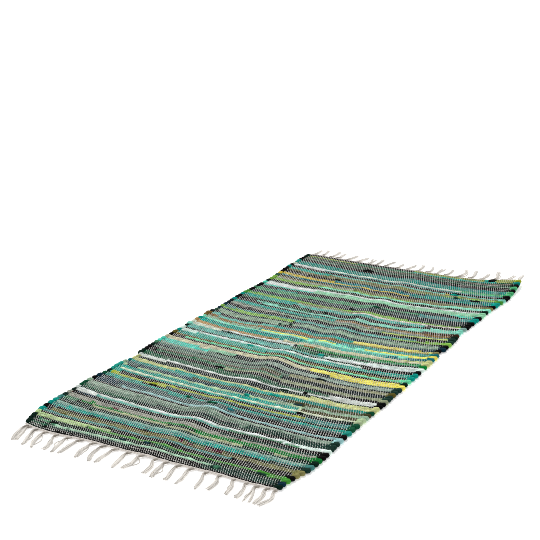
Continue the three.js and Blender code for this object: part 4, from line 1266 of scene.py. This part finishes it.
# A cotton that takes its colour from the colours painted on each piece
def clothMaterial(name, finish):
    material = bpy.data.materials.new(name)
    material.use_nodes = True
    nodes, links = material.node_tree.nodes, material.node_tree.links
    shader = nodes["Principled BSDF"]
    effect = nodes.new("ShaderNodeGroup")
    effect.node_tree = fibre
    effect.inputs["Streaks"].default_value = finish["streaks"]
    effect.inputs["Contrast"].default_value = finish["contrast"]
    effect.inputs["Mottle"].default_value = finish["mottle"]
    rag = nodes.new("ShaderNodeVertexColor")
    rag.layer_name = "ragColour"
    links.new(rag.outputs["Color"], effect.inputs["Colour"])
    links.new(effect.outputs["Colour"], shader.inputs["Base Color"])
    links.new(effect.outputs["Roughness"], shader.inputs["Roughness"])
    relief = nodes.new("ShaderNodeBump")
    relief.inputs["Strength"].default_value = finish["bump"]
    relief.inputs["Distance"].default_value = 0.0006
    links.new(effect.outputs["Height"], relief.inputs["Height"])
    links.new(relief.outputs["Normal"], shader.inputs["Normal"])
    shader.inputs["Sheen Weight"].default_value = finish["sheen"]
    shader.inputs["Sheen Roughness"].default_value = 0.5
    shader.inputs["Specular IOR Level"].default_value = 0.1
    return material


ragFinish = {"streaks": (140, 1100, 1100), "contrast": 0.7, "mottle": 0.5, "bump": 0.6, "sheen": 0.0}
warpFinish = {"streaks": (1500, 260, 1500), "contrast": 0.35, "mottle": 0.35, "bump": 0.5, "sheen": 0.02}
tasselFinish = {"streaks": (1300, 300, 1300), "contrast": 0.2, "mottle": 0.15, "bump": 0.4, "sheen": 0.05}
ragMaterial = clothMaterial("ragCotton", ragFinish)
warpMaterial = clothMaterial("warpCotton", warpFinish)
tasselMaterial = clothMaterial("tasselCotton", tasselFinish)

dressing = ((weftPieces, ragMaterial), (warpPieces, warpMaterial), (fringePieces, tasselMaterial))
for pieces, material in dressing:
    for piece in pieces:
        piece.data.materials.append(material)

# Pieces and their places in the frame
for piece in weftPieces:
    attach(piece, "root")
    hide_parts("woven_cloth")
for piece in warpPieces:
    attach(piece, "root")
for piece, node in zip(fringePieces, ("fringe_near", "fringe_far")):
    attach(piece, "root")
    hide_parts(node)

# Floor, light and camera
studio = {
    "floorSize": 160,  # metres, so that low views show no edge of it
    "floorColour": (0.95, 0.95, 0.95),
    "floorGlow": 0.42,
    "skyStrength": 0.5,
    "keyStrength": 2.0,
    "keyAngle": 30,  # degrees across, so that its shadows are soft
    "keyFrom": (-0.5, 0.35, 1.0),
    "cameraPlace": (1.7093, -2.9729, 1.4126),
    "pitch": 19.17,
    "yaw": 30.93,
    "roll": -2.08,
    "lens": 93.33,
    "sensor": 36,
    "sight": 400,  # the floor is seen this far off
}

floorMesh = bpy.data.meshes.new("floor")
half = studio["floorSize"] / 2
corners = [(-half, -half, 0), (half, -half, 0), (half, half, 0), (-half, half, 0)]
floorMesh.from_pydata(corners, [], [(0, 1, 2, 3)])
floor = bpy.data.objects.new("floor", floorMesh)
bpy.context.scene.collection.objects.link(floor)
floorMaterial = bpy.data.materials.new("paleFloor")
floorMaterial.use_nodes = True
floorShader = floorMaterial.node_tree.nodes["Principled BSDF"]
floorShader.inputs["Base Color"].default_value = (*studio["floorColour"], 1)
floorShader.inputs["Roughness"].default_value = 0.9
floorShader.inputs["Specular IOR Level"].default_value = 0.0
floorShader.inputs["Emission Color"].default_value = (1, 1, 1, 1)
floorShader.inputs["Emission Strength"].default_value = studio["floorGlow"]
floorMesh.materials.append(floorMaterial)

world = bpy.data.worlds.new("studio")
bpy.context.scene.world = world
world.use_nodes = True
world.node_tree.nodes["Background"].inputs["Color"].default_value = (1, 1, 1, 1)
world.node_tree.nodes["Background"].inputs["Strength"].default_value = studio["skyStrength"]

keyLight = bpy.data.lights.new("key", "SUN")
keyLight.energy = studio["keyStrength"]
keyLight.angle = math.radians(studio["keyAngle"])
key = bpy.data.objects.new("key", keyLight)
bpy.context.scene.collection.objects.link(key)
key.rotation_euler = Vector(studio["keyFrom"]).to_track_quat("Z", "Y").to_euler()

pitch, yaw, roll = (math.radians(studio[name]) for name in ("pitch", "yaw", "roll"))
ahead = Vector((-math.sin(yaw) * math.cos(pitch), math.cos(yaw) * math.cos(pitch), -math.sin(pitch)))
level = Vector((math.cos(yaw), math.sin(yaw), 0))
above = level.cross(ahead)
rightward = math.cos(roll) * level + math.sin(roll) * above
upward = -math.sin(roll) * level + math.cos(roll) * above
cameraData = bpy.data.cameras.new("camera")
cameraData.lens = studio["lens"]
cameraData.sensor_width = studio["sensor"]
cameraData.clip_end = studio["sight"]
camera = bpy.data.objects.new("camera", cameraData)
bpy.context.scene.collection.objects.link(camera)
turned = Matrix((rightward, upward, -ahead)).transposed().to_4x4()
camera.matrix_world = Matrix.Translation(studio["cameraPlace"]) @ turned
bpy.context.scene.camera = camera
bpy.context.scene.view_settings.view_transform = "Standard"
# the weave's cells are about a pixel wide, so nothing may blur them
bpy.context.scene.cycles.use_denoising = False
bpy.context.scene.cycles.filter_width = 0.85

bpy.context.view_layer.update()
print("done")
